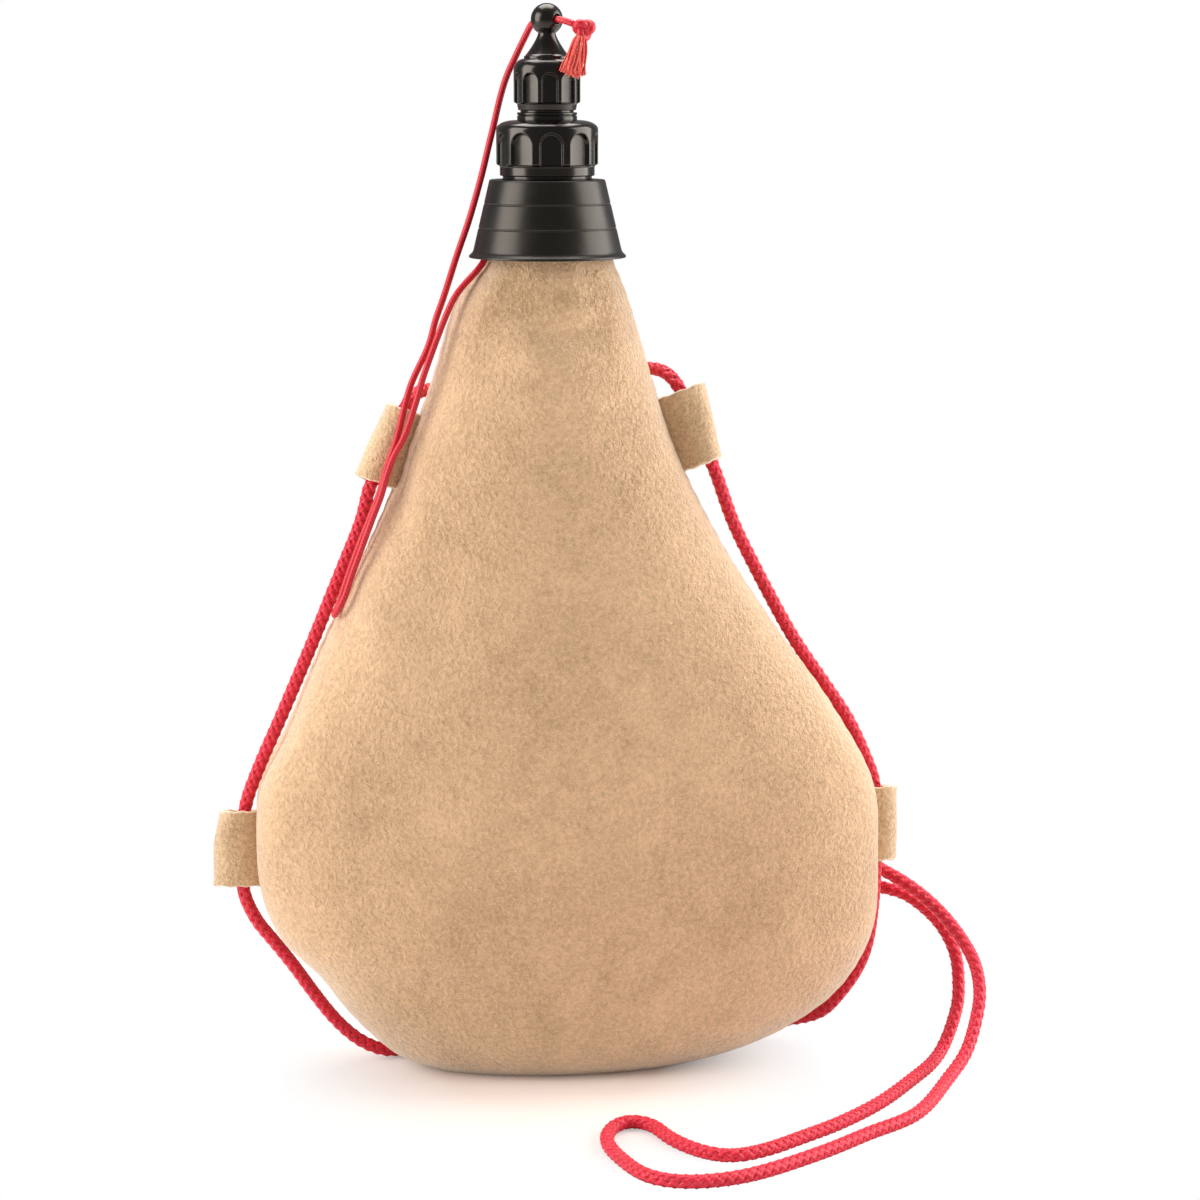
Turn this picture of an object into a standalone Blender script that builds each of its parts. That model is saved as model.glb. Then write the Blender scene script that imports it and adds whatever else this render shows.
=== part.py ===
"""A leather bota bag: a sewn suede pouch with a latex bladder, two screw caps and a braided strap.

The bag stands on its base, with +Z up and the front panel towards -Y. The origin is on the axis of
the spout, where it meets the surface that the bag stands on. All sizes are in metres.
"""

import math

import bmesh
import bpy
import numpy as np
from mathutils import Matrix, Vector

# Clearances, overruns and resolutions
SEAT_GAP = 0.0003
OVERRUN = 0.002
WELD = 0.000001
TURNED_STEPS = 26
BEAD_STEPS = 14
BALL_STEPS = 7
DOME_STEPS = 5
SMALL_DOME_STEPS = 4
ARCH_STEPS = 8
ROUTE_STEPS = 12
KNOT_STEPS = 8
SHADE_ANGLE = math.radians(35)
CORD_ROUNDING_STEPS = 2
ROUND_SEGMENTS = 12
BEAD_ROUNDING_STEPS = 1

# Sewn bag
BAG_WIDTH = 0.1936
BAG_HEIGHT = 0.252
BAG_DEPTH = 0.072
SEAM_BACK = 0.004
LEATHER = 0.002
SEAM_ALLOWANCE = 0.0055
SEAM_GAP = 0.0006
THREAD_RADIUS = 0.0004
BLADDER_WALL = 0.001
BLADDER_BASE = 0.0104

# Rows of the bag from its base to the collar: height as a share of BAG_HEIGHT, left and right edge
# from the spout's axis as shares of BAG_WIDTH, half depth as a share of BAG_DEPTH, how far the
# panels bulge past the seam as a share of the half width, and the seam's place as a share of
# SEAM_BACK.
BAG_ROW_SHARES = (
    (0.000, -0.198, 0.247, 0.236, 0.00, 1.000),
    (0.016, -0.245, 0.318, 0.312, 0.05, 1.000),
    (0.040, -0.281, 0.387, 0.368, 0.10, 1.000),
    (0.079, -0.325, 0.457, 0.417, 0.18, 1.000),
    (0.127, -0.370, 0.503, 0.458, 0.25, 1.000),
    (0.183, -0.436, 0.528, 0.490, 0.30, 1.000),
    (0.262, -0.466, 0.531, 0.500, 0.30, 1.000),
    (0.357, -0.450, 0.521, 0.494, 0.30, 1.000),
    (0.456, -0.401, 0.451, 0.472, 0.25, 0.875),
    (0.556, -0.346, 0.359, 0.438, 0.15, 0.625),
    (0.655, -0.282, 0.277, 0.403, 0.08, 0.375),
    (0.754, -0.233, 0.212, 0.375, 0.00, 0.125),
    (0.853, -0.185, 0.167, 0.340, 0.00, 0.000),
    (0.952, -0.143, 0.129, 0.306, 0.00, 0.000),
    (1.000, -0.094, 0.104, 0.258, 0.00, 0.000),
)
BASE_SHARES = (0.5, 0.0)      # rows across the flat base, from its edge to the seam
ROW_STEPS = 2
PANEL_COLUMNS = 13
BLADDER_COLUMNS = 8
SEAM_END = 0.0026         # the allowance where it ends, below the gathered neck
SEAM_TAPER = 0.027

# Threaded neck. The heights of the spout's pieces are measured from the bag's mouth, at BAG_HEIGHT.
BORE_RADIUS = 0.009
INSERT_RADIUS = 0.0112
INSERT_TAIL_BASE = -0.0060
INSERT_TAIL_LEAD = 0.0012
INSERT_TOP = 0.0370
FLANGE_RADIUS = 0.0150
FLANGE_THICKNESS = 0.002
GATHER_RISE = 0.007       # from the bag's last row to the narrow neck of the leather
NECK_TOP = 0.0199

# Twine binding
BINDING_BASE = 0.0085
BINDING_HEIGHT = 0.0075
TWINE_THICKNESS = 0.0015
TWINE_VALLEY_SHARE = 0.6

# Collar
COLLAR_TOP = 0.0244
COLLAR_TOP_RADIUS = 0.0174
COLLAR_FOOT = 0.0023
COLLAR_FOOT_RADIUS = 0.0226
COLLAR_WALL = 0.0016
COLLAR_EDGE = 0.0006
RIM_RADIUS = 0.0237
RIM_BASE = -0.0001
RIM_EDGE = 0.0015
RIM_WALL = 0.001
COLLAR_LINE_HEIGHTS = (0.0164, 0.0089)
COLLAR_LINE_WIDTH = 0.0005
COLLAR_LINE_DEPTH = 0.00025

# Filler cap, which is also the drinking nozzle
FILLER_BASE = 0.0253
FILLER_TOP = 0.0420
FILLER_TOP_RADIUS = 0.0096
FILLER_SHOULDER = 0.0393
FILLER_RIB_RADIUS = 0.0153
FILLER_RIB_BASE = 0.0289
FILLER_RADIUS = 0.01425
FILLER_FLUTE_TOP = 0.0381
FILLER_FLUTE_WIDTH = 0.0068
FILLER_THREAD_CLEARANCE = 0.0010
FILLER_SEAL_THICKNESS = 0.0012
THREAD_BEAD = 0.0007
THREAD_PITCH = 0.003
THREAD_TURNS = 2.2
THREAD_LEAD = 0.0026
CAP_TURNS_LESS = 0.5      # a cap's own thread is shorter than the one it runs on
FLUTES = 10

# Drinking nozzle
BOSS_RADIUS = 0.0090
BOSS_TOP = 0.0443
BOSS_LINE_HEIGHT = 0.0006
BOSS_LINE_DEPTH = 0.0003
NOZZLE_RADIUS = 0.0051
NOZZLE_TOP = 0.0534
NOZZLE_BORE_RADIUS = 0.0032
JET_RADIUS = 0.0013
JET_LENGTH = 0.002
JET_TAPER = 0.003
NOZZLE_BEAD = 0.00055
NOZZLE_PITCH = 0.0022
NOZZLE_TURNS = 2.0
NOZZLE_LEAD = 0.0020
NOZZLE_CLEARANCE = 0.0009

# Stopper cap with its drilled ball
STOPPER_BASE = 0.0449
STOPPER_BASE_RADIUS = 0.00865
STOPPER_RADIUS = 0.0090
STOPPER_RIB_RADIUS = 0.0100
STOPPER_RIB_BASE = 0.0473
STOPPER_FLUTE_TOP = 0.0558
STOPPER_FLUTE_WIDTH = 0.0048
STOPPER_SHOULDER = 0.0567
STOPPER_LEDGE_RADIUS = 0.0069
STOPPER_LEDGE_BASE = 0.0601
STOPPER_LEDGE_TOP = 0.0609
STOPPER_SEAL_THICKNESS = 0.001
STOPPER_SEAL_RADIUS = 0.0048
STEM_FOOT_RADIUS = 0.0064
STEM_RADIUS = 0.0027
STEM_SHARES = (0.35, 0.7, 1.0)
BALL_CENTRE = 0.0717
BALL_RADIUS = 0.0048
BALL_HOLE_TURN = math.radians(-53)

# Strap loops: cavity for the strap, wall, length along the seam, and how far each stands out
LOOP_CAVITY = 0.0066
LOOP_WALL = 0.0018
LOOP_LENGTH = 0.0240
LOOP_OVERLAP = 0.004
LOOP_NOSE_STEPS = 6
UPPER_LEFT_HEIGHT = 0.1945
UPPER_LEFT_REACH = 0.0126
UPPER_RIGHT_HEIGHT = 0.1984
UPPER_RIGHT_REACH = 0.0136
LOWER_LEFT_HEIGHT = 0.0714
LOWER_LEFT_REACH = 0.0172
LOWER_RIGHT_HEIGHT = 0.0738
LOWER_RIGHT_REACH = 0.0118

# Cords
STRAP_DIAMETER = 0.0042
STRAP_POINT_SPACING = 0.0076
TETHER_DIAMETER = 0.002
TETHER_POINT_SPACING = 0.0048
TETHER_TOP_SPACING = 0.0022
BALL_HOLE_RADIUS = 0.0015
STRAP_KNOT_CENTRE = (0.0008, 0.0390, 0.148)
STRAP_KNOT_RADII = (0.0056, 0.0050, 0.0066)
TETHER_KNOT_CENTRE = (0.0103, -0.0082, 0.3206)
TETHER_KNOT_RADII = (0.0036, 0.0030, 0.0031)
TASSEL_TOP = (0.0089, -0.0096, 0.3172)
TASSEL_FOOT = (0.0062, -0.0122, 0.3062)
TASSEL_TOP_RADIUS = 0.0013
TASSEL_FOOT_RADIUS = 0.00375
TASSEL_FLATNESS_SHARE = 0.55

# The strap is one closed ring of braided cord. From the upper left loop it runs down the left side,
# behind the base and up the right side, over the back's right shoulder and down behind the bag. It
# comes forward at the lower right, lies in front as a free loop, and climbs the back to the knot
# and the left shoulder.
STRAP_LEFT = (
    (-0.0485, 0.0003, 0.1947), (-0.0509, 0.0006, 0.1899), (-0.0538, 0.0009, 0.1844),
    (-0.05578, 0.0012, 0.17357), (-0.06099, 0.0016, 0.16128), (-0.06659, 0.0021, 0.14888),
    (-0.07216, 0.0026, 0.13649), (-0.07746, 0.0031, 0.12408), (-0.08287, 0.0035, 0.11157),
    (-0.08844, 0.0038, 0.09918), (-0.0933, 0.004, 0.0868), (-0.0946, 0.004, 0.079),
    (-0.095, 0.004, 0.0714),
)
STRAP_BOTTOM = (
    (-0.095, 0.004, 0.0709), (-0.0951, 0.004, 0.063), (-0.0949, 0.0042, 0.0566),
    (-0.09095, 0.0055, 0.04737), (-0.08672, 0.0065, 0.04165), (-0.08002, 0.008, 0.03228),
    (-0.0736, 0.009, 0.02251), (-0.06682, 0.0095, 0.01331), (-0.05904, 0.0095, 0.00617),
    (-0.0505, 0.0098, 0.0026), (-0.04489, 0.01458, 0.0022), (-0.03652, 0.02082, 0.0022),
    (-0.025, 0.0258, 0.0022), (-0.01, 0.0288, 0.0022), (0.012, 0.0302, 0.0022),
    (0.034, 0.0298, 0.0022), (0.05, 0.028, 0.0023), (0.064, 0.0228, 0.0033), (0.076, 0.016, 0.0064),
    (0.0876, 0.009, 0.0108), (0.0934, 0.0056, 0.018), (0.0976, 0.0045, 0.0242),
    (0.1006, 0.0041, 0.0304), (0.1024, 0.004, 0.0375), (0.1036, 0.004, 0.048),
    (0.1041, 0.004, 0.059), (0.1042, 0.004, 0.0727),
)
STRAP_RIGHT = (
    (0.1042, 0.004, 0.0732), (0.1039, 0.004, 0.08), (0.1033, 0.004, 0.088),
    (0.10073, 0.004, 0.09499), (0.09487, 0.0038, 0.1076), (0.08627, 0.00338, 0.12058),
    (0.07734, 0.00277, 0.13362), (0.07009, 0.00228, 0.14638), (0.06337, 0.0018, 0.1591),
    (0.05716, 0.0012, 0.17179), (0.05124, 0.0007, 0.18819), (0.0459, 0.0004, 0.1996),
)
STRAP_BACK_RIGHT = (
    (0.0457, 0.0003, 0.2001), (0.0434, 0.0, 0.2062), (0.0411, 0.0, 0.2116),
    (0.0389, 0.0015, 0.2156), (0.036, 0.0058, 0.2179), (0.0324, 0.0114, 0.2181),
    (0.0274, 0.017, 0.2172), (0.0205, 0.0222, 0.2139), (0.013, 0.0264, 0.2076),
    (0.0076, 0.0294, 0.199), (0.005, 0.0316, 0.188), (0.0048, 0.0332, 0.177),
    (0.0064, 0.035, 0.164), (0.0095, 0.037, 0.149), (0.015, 0.0394, 0.131), (0.023, 0.0412, 0.112),
    (0.035, 0.0422, 0.096), (0.05, 0.0414, 0.084), (0.067, 0.0394, 0.074), (0.0835, 0.0356, 0.0665),
    (0.09827, 0.02865, 0.061), (0.10593, 0.01899, 0.057),
)
STRAP_FREE_LOOP = (
    (0.1061, 0.018, 0.0569), (0.11204, 0.0115, 0.05451), (0.11667, 0.0085, 0.05187),
    (0.12162, 0.0055, 0.0481), (0.12552, 0.003, 0.0444), (0.12877, 0.0005, 0.04056),
    (0.13169, -0.002, 0.03626), (0.13439, -0.0055, 0.03112), (0.1352, -0.0095, 0.02572),
    (0.13446, -0.014, 0.01959), (0.1288, -0.024, 0.0083), (0.12, -0.038, 0.004),
    (0.1044, -0.0653, 0.0022), (0.086, -0.082, 0.0022), (0.0686, -0.0973, 0.0022),
    (0.0468, -0.1123, 0.0022), (0.0296, -0.1161, 0.0022), (0.0179, -0.1101, 0.0022),
    (0.0115, -0.0938, 0.0022), (0.0095, -0.08, 0.0022), (0.0125, -0.0685, 0.0022),
    (0.0185, -0.0635, 0.0022), (0.0245, -0.0685, 0.0022), (0.028, -0.0795, 0.0022),
    (0.0345, -0.0905, 0.0022), (0.0432, -0.0963, 0.0022), (0.054, -0.0924, 0.0022),
    (0.0667, -0.0826, 0.0022), (0.0804, -0.0709, 0.0022), (0.0961, -0.0534, 0.0022),
    (0.1117, -0.0303, 0.0022), (0.11797, -0.02007, 0.0022), (0.12358, -0.0095, 0.00301),
    (0.12684, -0.006, 0.00768), (0.12914, -0.0032, 0.01251), (0.13065, -0.0008, 0.01734),
    (0.1307, 0.0037, 0.02757), (0.12896, 0.0058, 0.03247), (0.12621, 0.0078, 0.03711),
    (0.12275, 0.0095, 0.04121), (0.11882, 0.012, 0.04444), (0.1144, 0.0145, 0.0472),
    (0.1094, 0.0169, 0.0489),
)
STRAP_BACK_TAIL = (
    (0.0016, 0.0388, 0.1406), (0.0036, 0.0394, 0.132), (0.0072, 0.0408, 0.12),
    (0.013, 0.0424, 0.104), (0.023, 0.043, 0.088), (0.038, 0.0426, 0.0745), (0.056, 0.0406, 0.0645),
    (0.0745, 0.037, 0.0575), (0.091, 0.0316, 0.0526), (0.1024, 0.0242, 0.0503),
    (0.1083, 0.0176, 0.0491),
)
STRAP_BACK_LEFT = (
    (-0.0483, 0.0003, 0.1952), (-0.0464, 0.0, 0.2006), (-0.0446, 0.0, 0.2056),
    (-0.0425, 0.0012, 0.2094), (-0.03963, 0.00561, 0.21201), (-0.0358, 0.01255, 0.21208),
    (-0.03027, 0.01886, 0.21163), (-0.0226, 0.024, 0.2096), (-0.0138, 0.028, 0.2052),
    (-0.0066, 0.0306, 0.198), (-0.0031, 0.0324, 0.1885), (-0.0019, 0.0338, 0.1775),
    (-0.0008, 0.0354, 0.165), (0.0002, 0.0374, 0.1554),
)

# The tether leaves the neck under the collar, hangs in a bight and rises to the ball.
TETHER_CORD = (
    (-0.01761, -0.0038, 0.2566), (-0.01848, -0.00421, 0.25404), (-0.01957, -0.00467, 0.25214),
    (-0.02162, -0.00589, 0.2496), (-0.0249, -0.0075, 0.2464), (-0.028, -0.0087, 0.2429),
    (-0.03, -0.009, 0.2394), (-0.0339, -0.0094, 0.23), (-0.0384, -0.0098, 0.2179),
    (-0.0404, -0.0098, 0.211), (-0.044, -0.0098, 0.2005), (-0.0473, -0.0098, 0.1946),
    (-0.0495, -0.0098, 0.1888), (-0.0513, -0.0098, 0.1824), (-0.0536, -0.0096, 0.1766),
    (-0.0606, -0.0096, 0.1579), (-0.0626, -0.0098, 0.1518), (-0.0646, -0.0096, 0.1482),
    (-0.0657, -0.0085, 0.146), (-0.066, -0.007, 0.1453), (-0.0658, -0.0055, 0.146),
    (-0.065, -0.0046, 0.1484), (-0.0634, -0.0044, 0.154), (-0.0602, -0.0053, 0.164),
    (-0.056, -0.006, 0.1746), (-0.0523, -0.0068, 0.1837), (-0.0496, -0.007, 0.1913),
    (-0.0465, -0.0072, 0.1988), (-0.0434, -0.007, 0.2108), (-0.0414, -0.0064, 0.2168),
    (-0.0364, -0.005, 0.227), (-0.0342, -0.0029, 0.2345), (-0.0316, -0.001, 0.2411),
    (-0.027, 0.0035, 0.2541), (-0.0233, 0.005, 0.2642), (-0.0195, 0.0066, 0.2768),
    (-0.0171, 0.008, 0.286), (-0.0152, 0.0089, 0.2933), (-0.0142, 0.0092, 0.2974),
)
TETHER_TOP = (
    (-0.01415, 0.0092, 0.2978), (-0.0128, 0.0093, 0.3028), (-0.0112, 0.0089, 0.3076),
    (-0.009, 0.0082, 0.3123), (-0.0068, 0.0075, 0.317), (-0.0053, 0.0069, 0.3198),
    (-0.0044, 0.0059, 0.3222), (-0.0031, 0.0041, 0.32345), (0.0, 0.0, 0.3238),
    (0.0026, -0.0034, 0.3237), (0.0044, -0.0054, 0.3234), (0.0074, -0.0071, 0.3222),
)

# Colours as linear values, with roughness
SUEDE = ((0.66, 0.43, 0.25), 0.95)
COLLAR_BLACK = ((0.016, 0.015, 0.014), 0.55)
CAP_BLACK = ((0.012, 0.011, 0.010), 0.3)
NECK_BLACK = ((0.02, 0.02, 0.02), 0.4)
LATEX = ((0.55, 0.36, 0.14), 0.5)
TWINE = ((0.52, 0.42, 0.26), 0.85)
WASHER = ((0.62, 0.60, 0.55), 0.6)
STRAP_RED = ((0.68, 0.01, 0.03), 0.7)
TETHER_RED = ((0.52, 0.012, 0.02), 0.75)
TASSEL_RED = ((0.80, 0.08, 0.06), 0.85)


def clear_scene():
    for old in list(bpy.data.objects):
        bpy.data.objects.remove(old, do_unlink=True)


def add_collection(name):
    collection = bpy.data.collections.new(name)
    bpy.context.scene.collection.children.link(collection)
    return collection


def material_named(name, look):
    """One material for each finish, shared by the pieces that have it."""
    material = bpy.data.materials.get(name)
    if material is None:
        colour, roughness = look
        material = bpy.data.materials.new(name)
        material.use_nodes = True
        shader = material.node_tree.nodes["Principled BSDF"]
        shader.inputs["Base Color"].default_value = (*colour, 1.0)
        shader.inputs["Roughness"].default_value = roughness
        shader.inputs["Metallic"].default_value = 0.0
        material.diffuse_color = (*colour, 1.0)
    return material


def add_object(name, data, finish, look):
    made = bpy.data.objects.new(name, data)
    data.materials.append(material_named(finish, look))
    PARTS.objects.link(made)
    return made


def add_cutter(name, data):
    """An object that only cuts or joins, beside the part's own collection."""
    made = bpy.data.objects.new(name, data)
    CUTTERS.objects.link(made)
    made.hide_render = True
    made.display_type = "WIRE"
    return made


def mesh_from(name, vertices, faces):
    """A mesh with its doubled points merged."""
    mesh = bpy.data.meshes.new(name)
    mesh.from_pydata([tuple(map(float, v)) for v in vertices], [], faces)
    bm = bmesh.new()
    bm.from_mesh(mesh)
    bmesh.ops.remove_doubles(bm, verts=bm.verts, dist=WELD)
    bm.to_mesh(mesh)
    bm.free()
    return mesh


def shade_round(mesh, angle=SHADE_ANGLE):
    mesh.shade_smooth()
    mesh.set_sharp_from_angle(angle=angle)


def turned_mesh(name, profile, closed):
    """The outline of a turned shape of the spout as edges in the XZ plane, from (radius, height) pairs."""
    count = len(profile)
    edges = [(i, i + 1) for i in range(count - 1)]
    if closed:
        edges.append((count - 1, 0))
    mesh = bpy.data.meshes.new(name)
    mesh.from_pydata([(radius, 0.0, BAG_HEIGHT + height) for radius, height in profile], edges, [])
    return mesh


def add_screw(obj, steps=TURNED_STEPS):
    screw = obj.modifiers.new("turn", "SCREW")
    screw.axis = "Z"
    screw.angle = math.tau
    screw.steps = steps
    screw.render_steps = steps
    screw.use_merge_vertices = True
    screw.merge_threshold = WELD
    screw.use_smooth_shade = True
    return obj


def add_turned(name, profile, finish, look, closed=True):
    return add_screw(add_object(name, turned_mesh(name, profile, closed), finish, look))


def add_boolean(obj, other, operation):
    boolean = obj.modifiers.new(operation.lower(), "BOOLEAN")
    boolean.operation = operation
    boolean.solver = "EXACT"
    boolean.object = other


def arc(centre, radius, start, end, steps):
    """Points on a circle in a profile's own plane."""
    angles = np.linspace(start, end, steps + 1)
    return [(centre[0] + radius * math.cos(a), centre[1] + radius * math.sin(a)) for a in angles]


def smooth_route(points, steps):
    """Points on a Catmull-Rom curve through the given ones, steps of them to each stretch."""
    given = np.array(points, float)
    ends = np.vstack([2 * given[0] - given[1], given, 2 * given[-1] - given[-2]])
    found = []
    for before, start, end, after in zip(ends, ends[1:], ends[2:], ends[3:]):
        for t in np.arange(steps) / steps:
            found.append(
                0.5 * (2 * start + (end - before) * t
                       + (2 * before - 5 * start + 4 * end - after) * t ** 2
                       + (3 * start - before - 3 * end + after) * t ** 3)
            )
    found.append(given[-1])
    return np.array(found)


def even_points(points, spacing):
    """The smooth curve through the points, read at even distances of about the spacing."""
    dense = smooth_route(points, ROUTE_STEPS)
    travelled = np.concatenate([[0.0], np.cumsum(np.linalg.norm(np.diff(dense, axis=0), axis=1))])
    count = max(3, int(round(travelled[-1] / spacing)) + 1)
    at = np.linspace(0.0, travelled[-1], count)
    return np.stack([np.interp(at, travelled, dense[:, k]) for k in range(3)], axis=1), travelled[-1]


def tube_curve(name, points, radius, rounding=CORD_ROUNDING_STEPS):
    curve = bpy.data.curves.new(name, "CURVE")
    curve.dimensions = "3D"
    curve.bevel_depth = radius
    curve.bevel_resolution = rounding
    curve.use_fill_caps = True
    spline = curve.splines.new("POLY")
    spline.points.add(len(points) - 1)
    for spot, point in zip(spline.points, points):
        spot.co = (*map(float, point), 1.0)
    return curve


def evaluated_mesh(obj, name):
    """A welded mesh of a curve object, which is then removed."""
    depsgraph = bpy.context.evaluated_depsgraph_get()
    mesh = bpy.data.meshes.new_from_object(obj.evaluated_get(depsgraph))
    mesh.name = name
    mesh.transform(obj.matrix_world)
    bm = bmesh.new()
    bm.from_mesh(mesh)
    bmesh.ops.remove_doubles(bm, verts=bm.verts, dist=WELD)
    bmesh.ops.recalc_face_normals(bm, faces=bm.faces)
    bm.to_mesh(mesh)
    bm.free()
    curve = obj.data
    bpy.data.objects.remove(obj, do_unlink=True)
    bpy.data.curves.remove(curve)
    return mesh


def add_cord(name, route, diameter, spacing, finish, look):
    points, length = even_points(route, spacing)
    made = add_object(name, tube_curve(name, points, diameter / 2), finish, look)
    print(f"{name}: {length * 1000:.1f} mm long, {len(points)} points")
    return made


def bead_cutter(name, radius, base, pitch, turns, bead, half_turn):
    """A round thread as a helix of wire, which is joined to the wall that carries it."""
    count = int(round(turns * BEAD_STEPS)) + 1
    angles = np.linspace(0.0, turns * math.tau, count)
    heights = BAG_HEIGHT + base + pitch * angles / math.tau
    if half_turn:
        heights += pitch / 2
    points = np.stack([radius * np.cos(angles), radius * np.sin(angles), heights], axis=1)
    helix = add_cutter(name + "_wire", tube_curve(name, points, bead, BEAD_ROUNDING_STEPS))
    return add_cutter(name, evaluated_mesh(helix, name))


def flute_cutter(name, width, top, base, wall_radius, rib_radius):
    """Arch-topped prisms that run outwards from the flutes' floor, one for each flute."""
    half = width / 2
    outline = [(-half, base - OVERRUN), (half, base - OVERRUN)]
    outline += arc((0.0, top - half), half, 0.0, math.pi, ARCH_STEPS)
    near = math.sqrt(wall_radius ** 2 - half ** 2)
    far = rib_radius + OVERRUN
    vertices = []
    faces = []
    for index in range(FLUTES):
        turn = Matrix.Rotation(index * math.tau / FLUTES - math.pi / 2, 3, "Z")
        first = len(vertices)
        for along in (near, far):
            vertices += [turn @ Vector((along, across, BAG_HEIGHT + height)) for across, height in outline]
        count = len(outline)
        faces.append(tuple(first + i for i in reversed(range(count))))
        faces.append(tuple(first + count + i for i in range(count)))
        for i in range(count):
            j = (i + 1) % count
            faces.append((first + i, first + j, first + count + j, first + count + i))
    return add_cutter(name, mesh_from(name, vertices, faces))


def bag_rows():
    """Smooth rows of the bag, base first: height, left, right, half depth, bulge and seam."""
    scale = np.array([BAG_HEIGHT, BAG_WIDTH, BAG_WIDTH, BAG_DEPTH, 1.0, SEAM_BACK])
    rows = smooth_route(np.array(BAG_ROW_SHARES) * scale, ROW_STEPS)
    rows[:, 4] = np.maximum(rows[:, 4], 0.0)
    rows[:, 5] = np.maximum(rows[:, 5], 0.0)
    middle = (NECK_RADIUS + rows[-1, 3]) / 2
    neck = NECK_RADIUS
    gathered = [
        (BAG_HEIGHT + GATHER_RISE / 2, -middle, middle, middle, 0.0, 0.0),
        (BAG_HEIGHT + GATHER_RISE, -neck, neck, neck, 0.0, 0.0),
        (BAG_HEIGHT + NECK_TOP, -neck, neck, neck, 0.0, 0.0),
    ]
    return np.vstack([rows, gathered])


def section_x(left, right, bulge, angles):
    """A section's points across the bag, from its left seam to its right one."""
    shape = np.cos(angles) * (1 + bulge * np.abs(np.sin(angles)))
    return (left + right) / 2 - (right - left) / 2 / shape.max() * shape


def panel_angles():
    return np.linspace(0.0, math.pi, PANEL_COLUMNS + 1)


def seam_outline(rows):
    """The seam's path in the XZ plane: down the left side, along the base and up the right."""
    edges = [section_x(row[1], row[2], row[4], panel_angles()) for row in rows]
    left = [(edge[0], row[0]) for edge, row in zip(edges, rows)][::-1]
    base = [(x, 0.0) for x in edges[0][1:-1]]
    right = [(edge[-1], row[0]) for edge, row in zip(edges, rows)]
    return np.array(left + base + right)


def inset_path(path, distance):
    """Each point of a path moved to its left side, as it runs, by its own distance."""
    ahead = np.vstack([path[1:], path[-1:]]) - np.vstack([path[:1], path[:-1]])
    ahead /= np.linalg.norm(ahead, axis=1)[:, None]
    return path + np.stack([-ahead[:, 1], ahead[:, 0]], axis=1) * np.reshape(distance, (-1, 1))


def allowance_at(heights):
    """The width of the seam allowance, which narrows towards the neck and ends below it."""
    share = np.clip((heights - BAG_HEIGHT + SEAM_TAPER) / SEAM_TAPER, 0.0, 1.0)
    width = SEAM_ALLOWANCE + (SEAM_END - SEAM_ALLOWANCE) * share
    return np.where(heights > BAG_HEIGHT + WELD, 0.0, width)


def seam_depth(heights):
    """How far behind the spout's axis the seam lies."""
    return np.interp(heights, BAG_ROWS[:, 0], BAG_ROWS[:, 5])


def panel_mesh(name, side):
    """Half of the bag as an open surface, with the seam allowance turned inwards along its edge."""
    angles = panel_angles()
    columns = len(angles)
    lift = side * SEAM_GAP / 2
    lines = [(row, 1.0) for row in BAG_ROWS[::-1]] + [(BAG_ROWS[0], share) for share in BASE_SHARES]
    vertices = []
    for (height, left, right, depth, bulge, seam), share in lines:
        across = section_x(left, right, bulge, angles)
        behind = seam + lift + (side * depth - lift) * share * np.sin(angles)
        vertices += [(x, y, height) for x, y in zip(across, behind)]
    faces = []
    for r in range(len(lines) - 1):
        for c in range(columns - 1):
            a = r * columns + c
            faces.append((a, a + columns, a + columns + 1, a + 1))
    outline = seam_outline(BAG_ROWS)
    widths = allowance_at(outline[:, 1])
    behind = seam_depth(outline[:, 1]) + lift
    first = len(vertices)
    for path in (outline, inset_path(outline, widths)):
        vertices += [(x, y, z) for (x, z), y in zip(path, behind)]
    second = first + len(outline)
    for i in range(len(outline) - 1):
        if widths[i] > 0 and widths[i + 1] > 0:
            faces.append((first + i + 1, first + i, second + i, second + i + 1))
    if side > 0:
        faces = [tuple(reversed(face)) for face in faces]
    return mesh_from(name, vertices, faces)


def ring_mesh(name, side_inset, depth_inset, base, columns, capped):
    """A whole bag shape inside or outside the leather, from its base up to the neck."""
    outline = seam_outline(BAG_ROWS)
    outline = inset_path(outline, side_inset(outline[:, 1]))
    middle = len(outline) // 2
    left, right = outline[:middle][::-1], outline[middle:]
    profile = inset_path(BAG_ROWS[::-1, [3, 0]] * (-1, 1), depth_inset)[::-1]
    top = BAG_ROWS[-1, 0]
    levels = profile[:, 1]
    levels = np.concatenate([[base], levels[(levels > base + LEATHER) & (levels < top - LEATHER)], [top]])
    angles = np.linspace(0.0, math.tau, 2 * columns, endpoint=False)
    count = len(angles)
    vertices = []
    for height in levels:
        bulge = np.interp(height, BAG_ROWS[:, 0], BAG_ROWS[:, 4])
        near = np.interp(height, left[:, 1], left[:, 0])
        far = np.interp(height, right[:, 1], right[:, 0])
        depth = np.interp(height, profile[:, 1], -profile[:, 0])
        shape = np.cos(angles) * (1 + bulge * np.abs(np.sin(angles)))
        across = (near + far) / 2 - (far - near) / 2 * shape
        behind = seam_depth(height) - depth * np.sin(angles)
        vertices += [(x, y, height) for x, y in zip(across, behind)]
    faces = []
    for r in range(len(levels) - 1):
        for c in range(count):
            d = (c + 1) % count
            faces.append((r * count + c, r * count + d, (r + 1) * count + d, (r + 1) * count + c))
    centre = len(vertices)
    vertices.append(tuple(np.mean(vertices[:count], axis=0)))
    faces += [(centre, (c + 1) % count, c) for c in range(count)]
    if capped:
        last = (len(levels) - 1) * count
        faces.append(tuple(last + c for c in range(count)))
    return mesh_from(name, vertices, faces)


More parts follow.
